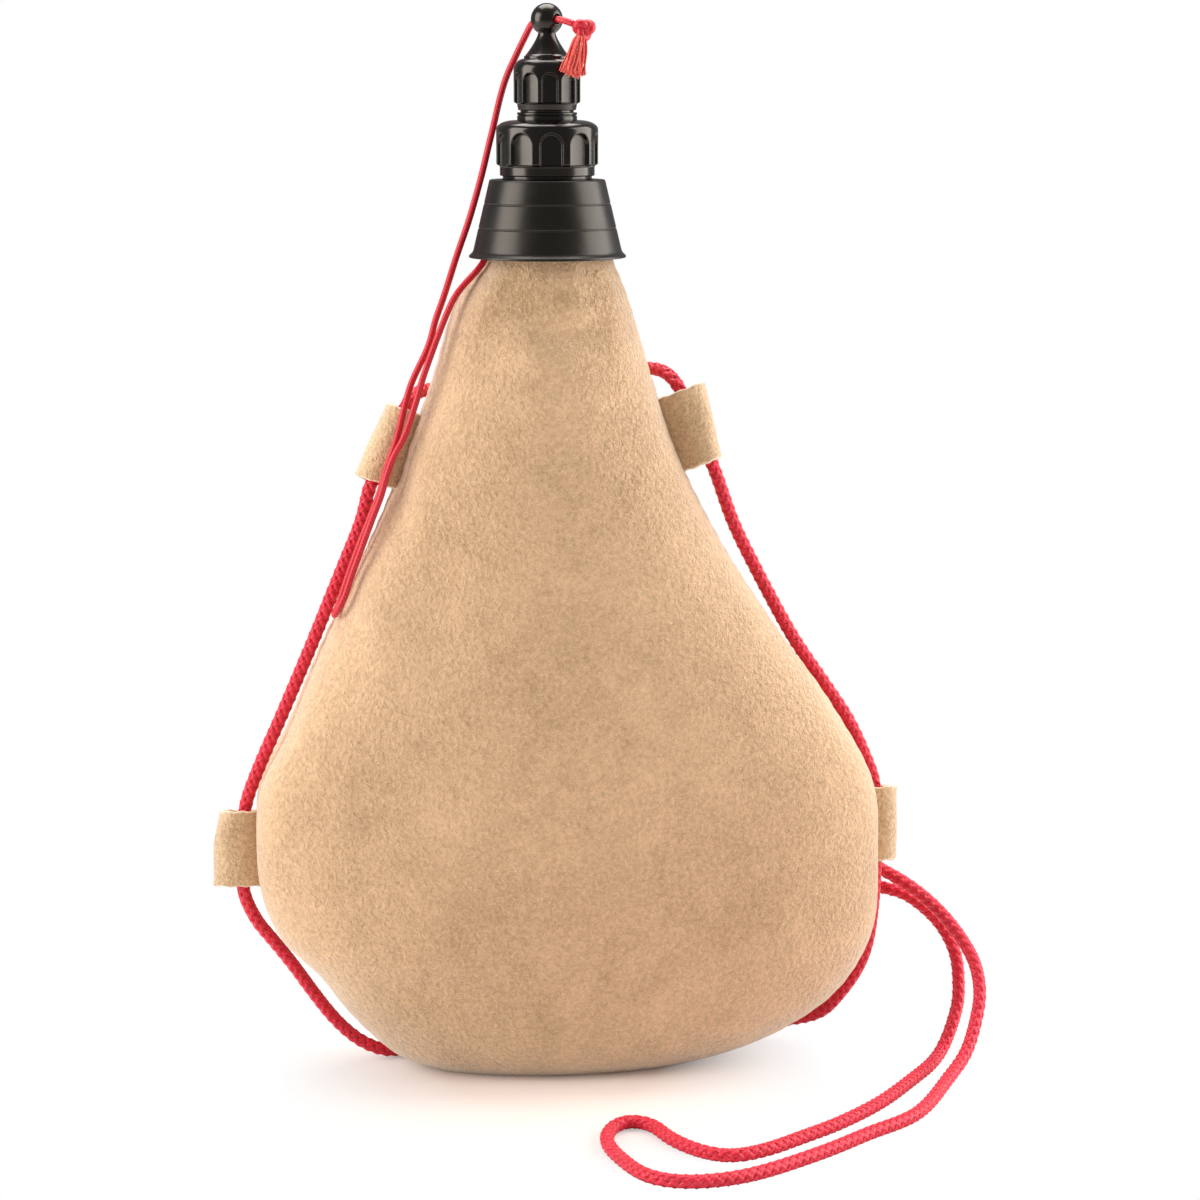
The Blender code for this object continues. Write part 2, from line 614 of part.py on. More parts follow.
def add_solidify(obj, thickness):
    """Thickens a surface away from the side that its faces look to."""
    shell = obj.modifiers.new("wall", "SOLIDIFY")
    shell.thickness = thickness
    shell.offset = -1.0
    shell.use_even_offset = True
    shell.use_rim = True


def make_panels():
    for name, side in (("front_panel", -1), ("back_panel", 1)):
        mesh = panel_mesh(name, side)
        shade_round(mesh)
        add_solidify(add_object(name, mesh, "suede", SUEDE), LEATHER)


def make_bladder():
    """The latex liner follows the leather inside its seam, and its neck grips the insert."""
    lining = LEATHER + SEAT_GAP

    def side_inset(heights):
        allowance = allowance_at(heights)
        return lining + (allowance + 2 * THREAD_RADIUS + SEAT_GAP) * (allowance > 0)

    mesh = ring_mesh("bladder", side_inset, lining, BLADDER_BASE, BLADDER_COLUMNS, False)
    shade_round(mesh)
    add_solidify(add_object("bladder", mesh, "latex", LATEX), BLADDER_WALL)


def make_seam_thread():
    """The waxed thread runs along the inner edge of the two seam allowances."""
    outline = seam_outline(BAG_ROWS)
    widths = allowance_at(outline[:, 1])
    path = inset_path(outline, widths + 2 * SEAT_GAP + THREAD_RADIUS)[widths >= SEAM_ALLOWANCE]
    points = np.stack([path[:, 0], seam_depth(path[:, 1]), path[:, 1]], axis=1)
    curve = tube_curve("seam_thread", points, THREAD_RADIUS, BEAD_ROUNDING_STEPS)
    add_object("seam_thread", curve, "twine", TWINE)


def make_neck_insert():
    """A threaded tube with a tapered tail in the bladder and a flange over the leather's end."""
    flange_base = NECK_TOP + SEAT_GAP
    profile = [
        (INSERT_RADIUS, INSERT_TOP),
        (INSERT_RADIUS, flange_base + FLANGE_THICKNESS),
        (FLANGE_RADIUS, flange_base + FLANGE_THICKNESS),
        (FLANGE_RADIUS, flange_base),
        (INSERT_RADIUS, flange_base),
        (INSERT_RADIUS, INSERT_TAIL_BASE + INSERT_TAIL_LEAD),
        (INSERT_RADIUS - INSERT_TAIL_LEAD / 2, INSERT_TAIL_BASE),
        (BORE_RADIUS, INSERT_TAIL_BASE),
        (BORE_RADIUS, INSERT_TOP),
    ]
    insert = add_turned("neck_insert", profile, "neck plastic", NECK_BLACK)
    thread = bead_cutter(
        "neck_thread", INSERT_RADIUS, FILLER_BASE + THREAD_LEAD, THREAD_PITCH, THREAD_TURNS, THREAD_BEAD, False
    )
    add_boolean(insert, thread, "UNION")


def make_binding():
    """Turns of twine that hold the leather and the bladder on the insert, as one ribbed ring."""
    inner = NECK_RADIUS + SEAT_GAP
    turns = max(1, int(round(BINDING_HEIGHT / TWINE_THICKNESS)))
    turn_height = BINDING_HEIGHT / turns
    profile = []
    for k in reversed(range(turns)):
        low = BINDING_BASE + k * turn_height
        profile.append((inner + TWINE_THICKNESS * TWINE_VALLEY_SHARE, low + turn_height))
        profile.append((inner + TWINE_THICKNESS, low + turn_height / 2))
    profile.append((inner + TWINE_THICKNESS * TWINE_VALLEY_SHARE, BINDING_BASE))
    profile.append((inner, BINDING_BASE))
    profile.append((inner, BINDING_BASE + BINDING_HEIGHT))
    add_turned("neck_binding", profile, "twine", TWINE)


def collar_radius(height):
    """The collar's outer radius on its straight cone."""
    share = (COLLAR_TOP - height) / (COLLAR_TOP - COLLAR_FOOT)
    return COLLAR_TOP_RADIUS + share * (COLLAR_FOOT_RADIUS - COLLAR_TOP_RADIUS)


def make_collar():
    """A moulded cone with a flat top, two fine lines round it and a thin flared rim."""
    hole = INSERT_RADIUS + THREAD_BEAD + SEAT_GAP * 2
    under = NECK_TOP + SEAT_GAP * 2 + FLANGE_THICKNESS
    profile = [
        (hole, COLLAR_TOP),
        (COLLAR_TOP_RADIUS - COLLAR_EDGE, COLLAR_TOP),
        (COLLAR_TOP_RADIUS, COLLAR_TOP - COLLAR_EDGE),
    ]
    for line in COLLAR_LINE_HEIGHTS:
        half = COLLAR_LINE_WIDTH / 2
        profile.append((collar_radius(line + half), line + half))
        profile.append((collar_radius(line) - COLLAR_LINE_DEPTH, line))
        profile.append((collar_radius(line - half), line - half))
    profile += [
        (COLLAR_FOOT_RADIUS, COLLAR_FOOT),
        (RIM_RADIUS, RIM_BASE + RIM_EDGE),
        (RIM_RADIUS, RIM_BASE),
        (RIM_RADIUS - RIM_WALL, RIM_BASE),
        (COLLAR_FOOT_RADIUS - COLLAR_WALL, COLLAR_FOOT),
        (collar_radius(under) - COLLAR_WALL, under),
        (hole, under),
    ]
    add_turned("collar", profile, "collar rubber", COLLAR_BLACK)


def make_filler():
    """The large fluted cap screws on the neck and carries the drinking nozzle."""
    inner = INSERT_RADIUS + FILLER_THREAD_CLEARANCE
    under = INSERT_TOP + FILLER_SEAL_THICKNESS + 2 * SEAT_GAP
    line = BOSS_TOP - BOSS_LINE_HEIGHT
    profile = [
        (JET_RADIUS, NOZZLE_TOP),
        (NOZZLE_RADIUS, NOZZLE_TOP),
        (NOZZLE_RADIUS, BOSS_TOP),
        (BOSS_RADIUS, BOSS_TOP),
        (BOSS_RADIUS, line),
        (BOSS_RADIUS - BOSS_LINE_DEPTH, line - BOSS_LINE_DEPTH),
        (BOSS_RADIUS, line - 2 * BOSS_LINE_DEPTH),
        (BOSS_RADIUS, FILLER_TOP),
        (FILLER_TOP_RADIUS, FILLER_TOP),
    ]
    rise = FILLER_TOP - FILLER_SHOULDER
    reach = FILLER_RIB_RADIUS - FILLER_TOP_RADIUS
    for angle in np.linspace(math.pi / 2, 0.0, DOME_STEPS + 1)[1:]:
        across = FILLER_TOP_RADIUS + reach * math.cos(angle)
        profile.append((across, FILLER_SHOULDER + rise * math.sin(angle)))
    profile += [
        (FILLER_RIB_RADIUS, FILLER_RIB_BASE),
        (FILLER_RADIUS, FILLER_RIB_BASE - (FILLER_RIB_RADIUS - FILLER_RADIUS) / 2),
        (FILLER_RADIUS, FILLER_BASE),
        (inner, FILLER_BASE),
        (inner, under),
        (NOZZLE_BORE_RADIUS, under),
        (NOZZLE_BORE_RADIUS, NOZZLE_TOP - JET_LENGTH - JET_TAPER),
        (JET_RADIUS, NOZZLE_TOP - JET_LENGTH),
    ]
    cap = add_turned("filler_cap", profile, "cap plastic", CAP_BLACK)
    add_boolean(cap, bead_cutter(
        "filler_thread", inner, FILLER_BASE + THREAD_LEAD, THREAD_PITCH, THREAD_TURNS - CAP_TURNS_LESS,
        THREAD_BEAD, True
    ), "UNION")
    add_boolean(cap, bead_cutter(
        "nozzle_thread", NOZZLE_RADIUS, STOPPER_BASE + NOZZLE_LEAD, NOZZLE_PITCH, NOZZLE_TURNS,
        NOZZLE_BEAD, False
    ), "UNION")
    add_boolean(cap, flute_cutter(
        "filler_flutes", FILLER_FLUTE_WIDTH, FILLER_FLUTE_TOP, FILLER_RIB_BASE, FILLER_RADIUS, FILLER_RIB_RADIUS
    ), "DIFFERENCE")
    seal_base = INSERT_TOP + SEAT_GAP
    add_turned("filler_seal", [
        (inner - SEAT_GAP, seal_base + FILLER_SEAL_THICKNESS),
        (inner - SEAT_GAP, seal_base),
        (BORE_RADIUS, seal_base),
        (BORE_RADIUS, seal_base + FILLER_SEAL_THICKNESS),
    ], "washer", WASHER)


def make_stopper():
    """The small fluted cap closes the nozzle, and its ball is drilled for the tether."""
    inner = NOZZLE_RADIUS + NOZZLE_CLEARANCE
    under = NOZZLE_TOP + STOPPER_SEAL_THICKNESS + 2 * SEAT_GAP
    ball_foot = -math.acos(STEM_RADIUS / BALL_RADIUS)
    profile = arc((0.0, BALL_CENTRE), BALL_RADIUS, math.pi / 2, ball_foot, BALL_STEPS)
    profile[0] = (0.0, BALL_CENTRE + BALL_RADIUS)
    stem_top = profile[-1][1]
    for share in STEM_SHARES:
        radius = STEM_RADIUS + (STEM_FOOT_RADIUS - STEM_RADIUS) * share ** 2
        profile.append((radius, stem_top + (STOPPER_LEDGE_TOP - stem_top) * share))
    profile += [(STOPPER_LEDGE_RADIUS, STOPPER_LEDGE_TOP), (STOPPER_LEDGE_RADIUS, STOPPER_LEDGE_BASE)]
    rise = STOPPER_LEDGE_BASE - STOPPER_SHOULDER
    reach = STOPPER_RIB_RADIUS - STOPPER_LEDGE_RADIUS
    for angle in np.linspace(math.pi / 2, 0.0, SMALL_DOME_STEPS + 1)[1:]:
        across = STOPPER_LEDGE_RADIUS + reach * math.cos(angle)
        profile.append((across, STOPPER_SHOULDER + rise * math.sin(angle)))
    profile += [
        (STOPPER_RIB_RADIUS, STOPPER_RIB_BASE),
        (STOPPER_RADIUS, STOPPER_RIB_BASE - (STOPPER_RIB_RADIUS - STOPPER_RADIUS) / 2),
        (STOPPER_BASE_RADIUS, STOPPER_BASE),
        (inner, STOPPER_BASE),
        (inner, under),
        (0.0, under),
    ]
    cap = add_turned("stopper_cap", profile, "cap plastic", CAP_BLACK, closed=False)
    add_boolean(cap, bead_cutter(
        "stopper_thread", inner, STOPPER_BASE + NOZZLE_LEAD, NOZZLE_PITCH, NOZZLE_TURNS - CAP_TURNS_LESS,
        NOZZLE_BEAD, True
    ), "UNION")
    add_boolean(cap, flute_cutter(
        "stopper_flutes", STOPPER_FLUTE_WIDTH, STOPPER_FLUTE_TOP, STOPPER_RIB_BASE, STOPPER_RADIUS,
        STOPPER_RIB_RADIUS
    ), "DIFFERENCE")
    hole = bmesh.new()
    bmesh.ops.create_cone(
        hole, cap_ends=True, segments=ROUND_SEGMENTS, radius1=BALL_HOLE_RADIUS,
        radius2=BALL_HOLE_RADIUS, depth=2 * (BALL_RADIUS + OVERRUN)
    )
    drill = bpy.data.meshes.new("ball_hole")
    hole.to_mesh(drill)
    hole.free()
    drill.transform(
        Matrix.Translation((0.0, 0.0, BAG_HEIGHT + BALL_CENTRE))
        @ Matrix.Rotation(BALL_HOLE_TURN, 4, "Z") @ Matrix.Rotation(math.pi / 2, 4, "Y")
    )
    add_boolean(cap, add_cutter("ball_hole", drill), "DIFFERENCE")
    seal_base = NOZZLE_TOP + SEAT_GAP
    add_turned("stopper_seal", [
        (0.0, seal_base + STOPPER_SEAL_THICKNESS),
        (STOPPER_SEAL_RADIUS, seal_base + STOPPER_SEAL_THICKNESS),
        (STOPPER_SEAL_RADIUS, seal_base),
        (0.0, seal_base),
    ], "washer", WASHER, closed=False)


def loop_place(height, side):
    """Where a strap loop leaves the bag: its outward, depth and length directions and its origin."""
    outline = seam_outline(BAG_ROWS)
    middle = len(outline) // 2
    edge = outline[middle:] if side > 0 else outline[:middle][::-1]
    ends = (height - LOOP_LENGTH / 2, height, height + LOOP_LENGTH / 2)
    low, centre, high = (
        Vector((np.interp(z, edge[:, 1], edge[:, 0]), seam_depth(z), z)) for z in ends
    )
    along = (high - low).normalized()
    out = (Vector((side, 0.0, 0.0)) - along * along.x * side).normalized()
    place = Matrix((out, along.cross(out), along)).transposed().to_4x4()
    place.translation = centre
    return place


def make_loop(name, height, side, reach):
    """A strip of suede folded round the strap, with its two ends on the bag's edge."""
    thick = LOOP_CAVITY / 2 + LOOP_WALL
    thin = LOOP_CAVITY / 2
    nose = reach - thick
    outline = [(-LOOP_OVERLAP, -thick)]
    outline += arc((nose, 0.0), thick, -math.pi / 2, math.pi / 2, LOOP_NOSE_STEPS)
    outline += [(-LOOP_OVERLAP, thick), (-LOOP_OVERLAP, thin)]
    outline += arc((nose, 0.0), thin, math.pi / 2, -math.pi / 2, LOOP_NOSE_STEPS)
    outline += [(-LOOP_OVERLAP, -thin)]
    curve = bpy.data.curves.new(name, "CURVE")
    curve.dimensions = "2D"
    curve.fill_mode = "BOTH"
    curve.extrude = LOOP_LENGTH / 2
    spline = curve.splines.new("POLY")
    spline.points.add(len(outline) - 1)
    spline.use_cyclic_u = True
    for spot, (across, depth) in zip(spline.points, outline):
        spot.co = (across, depth, 0.0, 1.0)
    mesh = evaluated_mesh(add_cutter(name + "_outline", curve), name)
    mesh.transform(loop_place(height, side))
    made = add_object(name, mesh, "suede", SUEDE)
    add_boolean(made, ENVELOPE, "DIFFERENCE")


def make_loops():
    make_loop("upper_left_loop", UPPER_LEFT_HEIGHT, -1, UPPER_LEFT_REACH)
    make_loop("upper_right_loop", UPPER_RIGHT_HEIGHT, 1, UPPER_RIGHT_REACH)
    make_loop("lower_left_loop", LOWER_LEFT_HEIGHT, -1, LOWER_LEFT_REACH)
    make_loop("lower_right_loop", LOWER_RIGHT_HEIGHT, 1, LOWER_RIGHT_REACH)


def add_knot(name, centre, radii, finish, look):
    """A knot as a rounded lump of the knot's outer size."""
    bm = bmesh.new()
    bmesh.ops.create_uvsphere(bm, u_segments=ROUND_SEGMENTS, v_segments=KNOT_STEPS, radius=1.0)
    mesh = bpy.data.meshes.new(name)
    bm.to_mesh(mesh)
    bm.free()
    mesh.transform(Matrix.Translation(centre) @ Matrix.Diagonal((*radii, 1.0)))
    mesh.shade_smooth()
    return add_object(name, mesh, finish, look)


def make_tassel():
    """The frayed end below the tether's knot, a flattened cone that widens downwards."""
    top, foot = Vector(TASSEL_TOP), Vector(TASSEL_FOOT)
    bm = bmesh.new()
    bmesh.ops.create_cone(
        bm, cap_ends=True, segments=ROUND_SEGMENTS, radius1=TASSEL_TOP_RADIUS, radius2=TASSEL_FOOT_RADIUS,
        depth=(foot - top).length
    )
    mesh = bpy.data.meshes.new("tether_tassel")
    bm.to_mesh(mesh)
    bm.free()
    along = (foot - top).normalized()
    middle = (top + foot) / 2
    radial = Vector((middle.x, middle.y, 0.0))
    radial = (radial - along * radial.dot(along)).normalized()
    turn = Matrix((radial.cross(along), radial, along)).transposed().to_4x4()
    flatten = Matrix.Diagonal((1.0, TASSEL_FLATNESS_SHARE, 1.0, 1.0))
    mesh.transform(Matrix.Translation((top + foot) / 2) @ turn @ flatten)
    mesh.shade_smooth()
    add_object("tether_tassel", mesh, "tassel", TASSEL_RED)


def make_cords():
    for name, route in (
        ("strap_left", STRAP_LEFT), ("strap_bottom", STRAP_BOTTOM), ("strap_right", STRAP_RIGHT),
        ("strap_back_right", STRAP_BACK_RIGHT), ("strap_free_loop", STRAP_FREE_LOOP),
        ("strap_back_tail", STRAP_BACK_TAIL), ("strap_back_left", STRAP_BACK_LEFT),
    ):
        add_cord(name, route, STRAP_DIAMETER, STRAP_POINT_SPACING, "strap", STRAP_RED)
    add_cord("tether_cord", TETHER_CORD, TETHER_DIAMETER, TETHER_POINT_SPACING, "tether", TETHER_RED)
    add_cord("tether_top", TETHER_TOP, TETHER_DIAMETER, TETHER_TOP_SPACING, "tether", TETHER_RED)
    add_knot("strap_knot", STRAP_KNOT_CENTRE, STRAP_KNOT_RADII, "strap", STRAP_RED)
    add_knot("tether_knot", TETHER_KNOT_CENTRE, TETHER_KNOT_RADII, "tether", TETHER_RED)
    make_tassel()


clear_scene()
PARTS = add_collection("bota_bag")
CUTTERS = add_collection("cutters")
NECK_RADIUS = INSERT_RADIUS + BLADDER_WALL + LEATHER + 2 * SEAT_GAP
BAG_ROWS = bag_rows()
ENVELOPE = add_cutter("bag_envelope", ring_mesh(
    "bag_envelope", lambda heights: -SEAT_GAP + 0 * heights, -SEAT_GAP, -SEAT_GAP, PANEL_COLUMNS, True
))
make_panels()
make_bladder()
make_seam_thread()
make_neck_insert()
make_binding()
make_collar()
make_filler()
make_stopper()
make_loops()
make_cords()
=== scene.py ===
# %% [markdown]
# # A leather bota bag
# A bota is a drinking flask sewn from two suede panels round a thin bladder. A black rubber collar
# covers its tied neck, and two fluted caps close it. A red braided cord runs through four loops.
# The rigid model is loaded first, as a frame of named bodies, and every piece below sits on it.

# %% Load the frame
import math

import bmesh
import bpy
import numpy as np
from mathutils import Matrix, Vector


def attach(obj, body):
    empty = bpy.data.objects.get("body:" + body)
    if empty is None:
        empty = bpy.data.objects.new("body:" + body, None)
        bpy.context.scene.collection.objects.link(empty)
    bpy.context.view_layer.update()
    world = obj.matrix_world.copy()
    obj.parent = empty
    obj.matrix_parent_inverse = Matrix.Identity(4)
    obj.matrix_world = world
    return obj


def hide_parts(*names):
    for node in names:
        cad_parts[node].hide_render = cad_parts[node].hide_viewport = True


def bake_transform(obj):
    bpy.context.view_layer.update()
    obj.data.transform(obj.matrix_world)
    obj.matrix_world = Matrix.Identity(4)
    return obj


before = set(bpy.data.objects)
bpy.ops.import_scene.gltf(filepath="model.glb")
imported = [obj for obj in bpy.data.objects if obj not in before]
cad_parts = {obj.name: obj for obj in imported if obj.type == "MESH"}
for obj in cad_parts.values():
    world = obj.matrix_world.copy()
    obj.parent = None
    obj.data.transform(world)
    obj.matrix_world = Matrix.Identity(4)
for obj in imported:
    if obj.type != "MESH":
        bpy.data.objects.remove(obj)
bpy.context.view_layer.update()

# %% [markdown]
# The camera comes first. It stands a little to the left of the bag and above its middle, with a long
# lens, so that the bag keeps its outline and the floor is seen at a low angle.

# %% Camera
CAMERA_PLACE = Vector((-0.08197, -0.93156, 0.30628))
CAMERA_AIM = Vector((0.01594, 0.0, 0.14785))

camera_data = bpy.data.cameras.new("camera")
camera_data.lens = 92.5
camera_data.sensor_width = 36.0
camera_data.clip_start = 0.01
camera = bpy.data.objects.new("camera", camera_data)
camera.location = CAMERA_PLACE
camera.rotation_euler = (CAMERA_AIM - CAMERA_PLACE).to_track_quat("-Z", "Y").to_euler()
bpy.context.scene.collection.objects.link(camera)
bpy.context.scene.camera = camera
bpy.context.scene.view_settings.view_transform = "Standard"

# %% [markdown]
# Most pieces here are grids of points: rows along a piece and columns across or round it. Numpy works
# out all the points at once, and a few helpers turn such a grid into a mesh. A column that goes all
# round joins its last point to its first.


# %% Grids to meshes
def grid_quads(rows, columns, closed):
    """Each quad joins two neighbouring rows and two neighbouring columns."""
    r = np.arange(rows - 1)[:, None]
    c = np.arange(columns if closed else columns - 1)[None, :]
    d = (c + 1) % columns
    quads = [r * columns + c, r * columns + d, (r + 1) * columns + d, (r + 1) * columns + c]
    return np.stack(np.broadcast_arrays(*quads), axis=-1).reshape(-1, 4)


def grid_uv(along, around):
    """The corners of those quads on a map: distance along a row's step, distance round a column's."""
    low, high = along[:-1, None], along[1:, None]
    near, far = around[None, :-1], around[None, 1:]
    corners = [(near, low), (far, low), (far, high), (near, high)]
    pairs = [np.stack(np.broadcast_arrays(*pair), axis=-1) for pair in corners]
    return np.stack(pairs, axis=2).reshape(-1, 4, 2)


def add_mesh(name, points, quads, fans=None, uv=None):
    """A mesh object at the origin from points, quads and perhaps triangles, with smooth shading."""
    fans = np.empty((0, 3), int) if fans is None else fans
    corners = np.concatenate([quads.ravel(), fans.ravel()]).astype(np.int32)
    starts = np.concatenate([4 * np.arange(len(quads)), 4 * len(quads) + 3 * np.arange(len(fans))])
    mesh = bpy.data.meshes.new(name)
    mesh.vertices.add(len(points))
    mesh.vertices.foreach_set("co", np.asarray(points, np.float32).ravel())
    mesh.loops.add(len(corners))
    mesh.loops.foreach_set("vertex_index", corners)
    mesh.polygons.add(len(starts))
    mesh.polygons.foreach_set("loop_start", starts.astype(np.int32))
    if uv is not None:
        flat = np.zeros((len(corners), 2), np.float32)
        flat[: uv.shape[0] * 4] = uv.reshape(-1, 2)
        mesh.uv_layers.new(name="surface").data.foreach_set("uv", flat.ravel())
    mesh.update(calc_edges=True)
    mesh.validate()
    mesh.shade_smooth()
    made = bpy.data.objects.new(name, mesh)
    bpy.context.scene.collection.objects.link(made)
    return made


def weld(obj, distance=1e-6):
    """Points of the mesh that lie on each other become one."""
    bm = bmesh.new()
    bm.from_mesh(obj.data)
    bmesh.ops.remove_doubles(bm, verts=bm.verts, dist=distance)
    bm.to_mesh(obj.data)
    bm.free()
    return obj


def faced_out(obj, thin=0.0):
    """Edges below the thin length go, and every face of the closed mesh turns outwards."""
    bm = bmesh.new()
    bm.from_mesh(obj.data)
    if thin:
        bmesh.ops.dissolve_degenerate(bm, dist=thin, edges=bm.edges)
    bmesh.ops.recalc_face_normals(bm, faces=bm.faces)
    bm.to_mesh(obj.data)
    bm.free()
    return obj


def add_wall(obj, thickness):
    """The surface becomes a wall of this thickness, which grows inwards."""
    wall = obj.modifiers.new("wall", "SOLIDIFY")
    wall.thickness = thickness
    wall.offset = -1.0
    return obj


def finished(obj, body, material, replaces=()):
    """The piece gets its finish, rides on its body and stands for its solids."""
    obj.data.materials.clear()
    obj.data.materials.append(material)
    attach(obj, body)
    if replaces:
        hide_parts(*replaces)
    print(f"{obj.name}: {len(obj.data.polygons)} faces")
    return obj


# %% [markdown]
# A cord follows a few listed points. A Catmull-Rom curve goes through all of them, and reading it
# at even distances gives every stretch the same detail.


# %% Lines
def smooth_curve(points, steps):
    """Catmull-Rom: each stretch blends its two ends and the two points beyond them."""
    given = np.array(points, float)
    ends = np.vstack([2 * given[0] - given[1], given, 2 * given[-1] - given[-2]])
    before, start, end, after = ends[:-3, None], ends[1:-2, None], ends[2:-1, None], ends[3:, None]
    t = (np.arange(steps) / steps)[None, :, None]
    dense = 0.5 * (
        2 * start + (end - before) * t + (2 * before - 5 * start + 4 * end - after) * t ** 2
        + (3 * start - before - 3 * end + after) * t ** 3
    )
    return np.vstack([dense.reshape(-1, given.shape[1]), given[-1:]])


def travelled(line):
    """The distance from a line's start to each of its points."""
    return np.concatenate([[0.0], np.cumsum(np.linalg.norm(np.diff(line, axis=0), axis=1))])


def even_line(line, spacing):
    """The same line read at even distances."""
    distance = travelled(line)
    at = np.linspace(0.0, distance[-1], int(round(distance[-1] / spacing)) + 1)
    return np.stack([np.interp(at, distance, line[:, k]) for k in range(line.shape[1])], axis=1)


def relaxed(line, passes):
    """Each point moves to the mean of itself and its neighbours, a number of times over."""
    line = line.copy()
    for _ in range(passes):
        line[1:-1] = (line[:-2] + 2 * line[1:-1] + line[2:]) / 4
    return line


def unit(vectors):
    return vectors / np.linalg.norm(vectors, axis=-1, keepdims=True)


def once_round(count):
    """Even angles from 0 up to a full turn, which they leave out."""
    return np.linspace(0.0, math.tau, count, endpoint=False)


def soft_step(share):
    """A climb from 0 to 1 that starts and ends level: 3 s^2 - 2 s^3."""
    return share ** 2 * (3 - 2 * share)


def carried_frame(line, first):
    """The line's direction at each point, and two across it that twist as little as they can."""
    along = unit(np.gradient(line, axis=0))
    across = np.empty_like(line)
    side = np.array(first, float)
    for i, direction in enumerate(along):
        side = side - direction * side.dot(direction)
        side = side / np.linalg.norm(side)
        across[i] = side
    return along, across, np.cross(along, across)


def tube_rings(line, out, beside, half_out, half_beside, sides):
    """A ring of points round each point of a line: an ellipse in its two cross directions."""
    angle = once_round(sides)[None, :, None]
    half_out = np.reshape(half_out, (-1, 1, 1))
    half_beside = np.reshape(half_beside, (-1, 1, 1))
    return (
        line[:, None] + out[:, None] * half_out * np.cos(angle)
        + beside[:, None] * half_beside * np.sin(angle)
    )


def closed_tube(rings, girth):
    """Points, quads, end fans and map of a tube whose ends are closed by a fan each."""
    rows, sides = rings.shape[:2]
    middles = rings[[0, -1]].mean(axis=1)
    c = np.arange(sides)
    d = (c + 1) % sides
    last = (rows - 1) * sides
    fans = np.vstack([
        np.stack([np.full(sides, rows * sides), d, c], axis=1),
        np.stack([np.full(sides, rows * sides + 1), last + c, last + d], axis=1),
    ])
    uv = grid_uv(travelled(rings.mean(axis=1)), np.linspace(0.0, girth, sides + 1))
    return np.vstack([rings.reshape(-1, 3), middles]), grid_quads(rows, sides, True), fans, uv


def add_tubes(name, tubes):
    """Several closed tubes as one mesh."""
    counts = np.cumsum([0] + [len(tube[0]) for tube in tubes])
    return add_mesh(
        name,
        np.vstack([tube[0] for tube in tubes]),
        np.vstack([tube[1] + n for tube, n in zip(tubes, counts)]),
        np.vstack([tube[2] + n for tube, n in zip(tubes, counts)]),
        np.vstack([tube[3] for tube in tubes]),
    )


# %% [markdown]
# A finish is a small graph of shader nodes. Writing its sums as Python sums keeps them readable, so a
# Signal wraps a node's output and adds a Math node for each operator. Everything else, such as a
# noise or a bump, comes from one method that takes the node's type, its settings and its sockets.


# %% Shader sums
class Signal:
    """A node's output, which Python's own signs add to, subtract from and multiply."""

    def __init__(self, tree, socket):
        self.tree = tree
        self.socket = socket

    def math(self, operation, *others, clamp=False):
        made = self.tree.nodes.new("ShaderNodeMath")
        made.operation = operation
        made.use_clamp = clamp
        for socket, value in zip(made.inputs, (self, *others)):
            plug(socket, value)
        return Signal(self.tree, made.outputs[0])

    def __add__(self, other):
        return self.math("ADD", other)

    def __sub__(self, other):
        return self.math("SUBTRACT", other)

    def __mul__(self, other):
        return self.math("MULTIPLY", other)

    def __mod__(self, other):
        return self.math("MODULO", other)

    def clamped(self):
        return self.math("ADD", 0.0, clamp=True)

    def ramped(self, low, high):
        """0 below low, 1 above high and a straight slope between them."""
        return self.math("MULTIPLY_ADD", 1.0 / (high - low), -low / (high - low), clamp=True)


def plug(socket, value):
    """A socket takes either another node's output or a plain value."""
    if isinstance(value, Signal):
        value.tree.links.new(value.socket, socket)
    else:
        socket.default_value = value


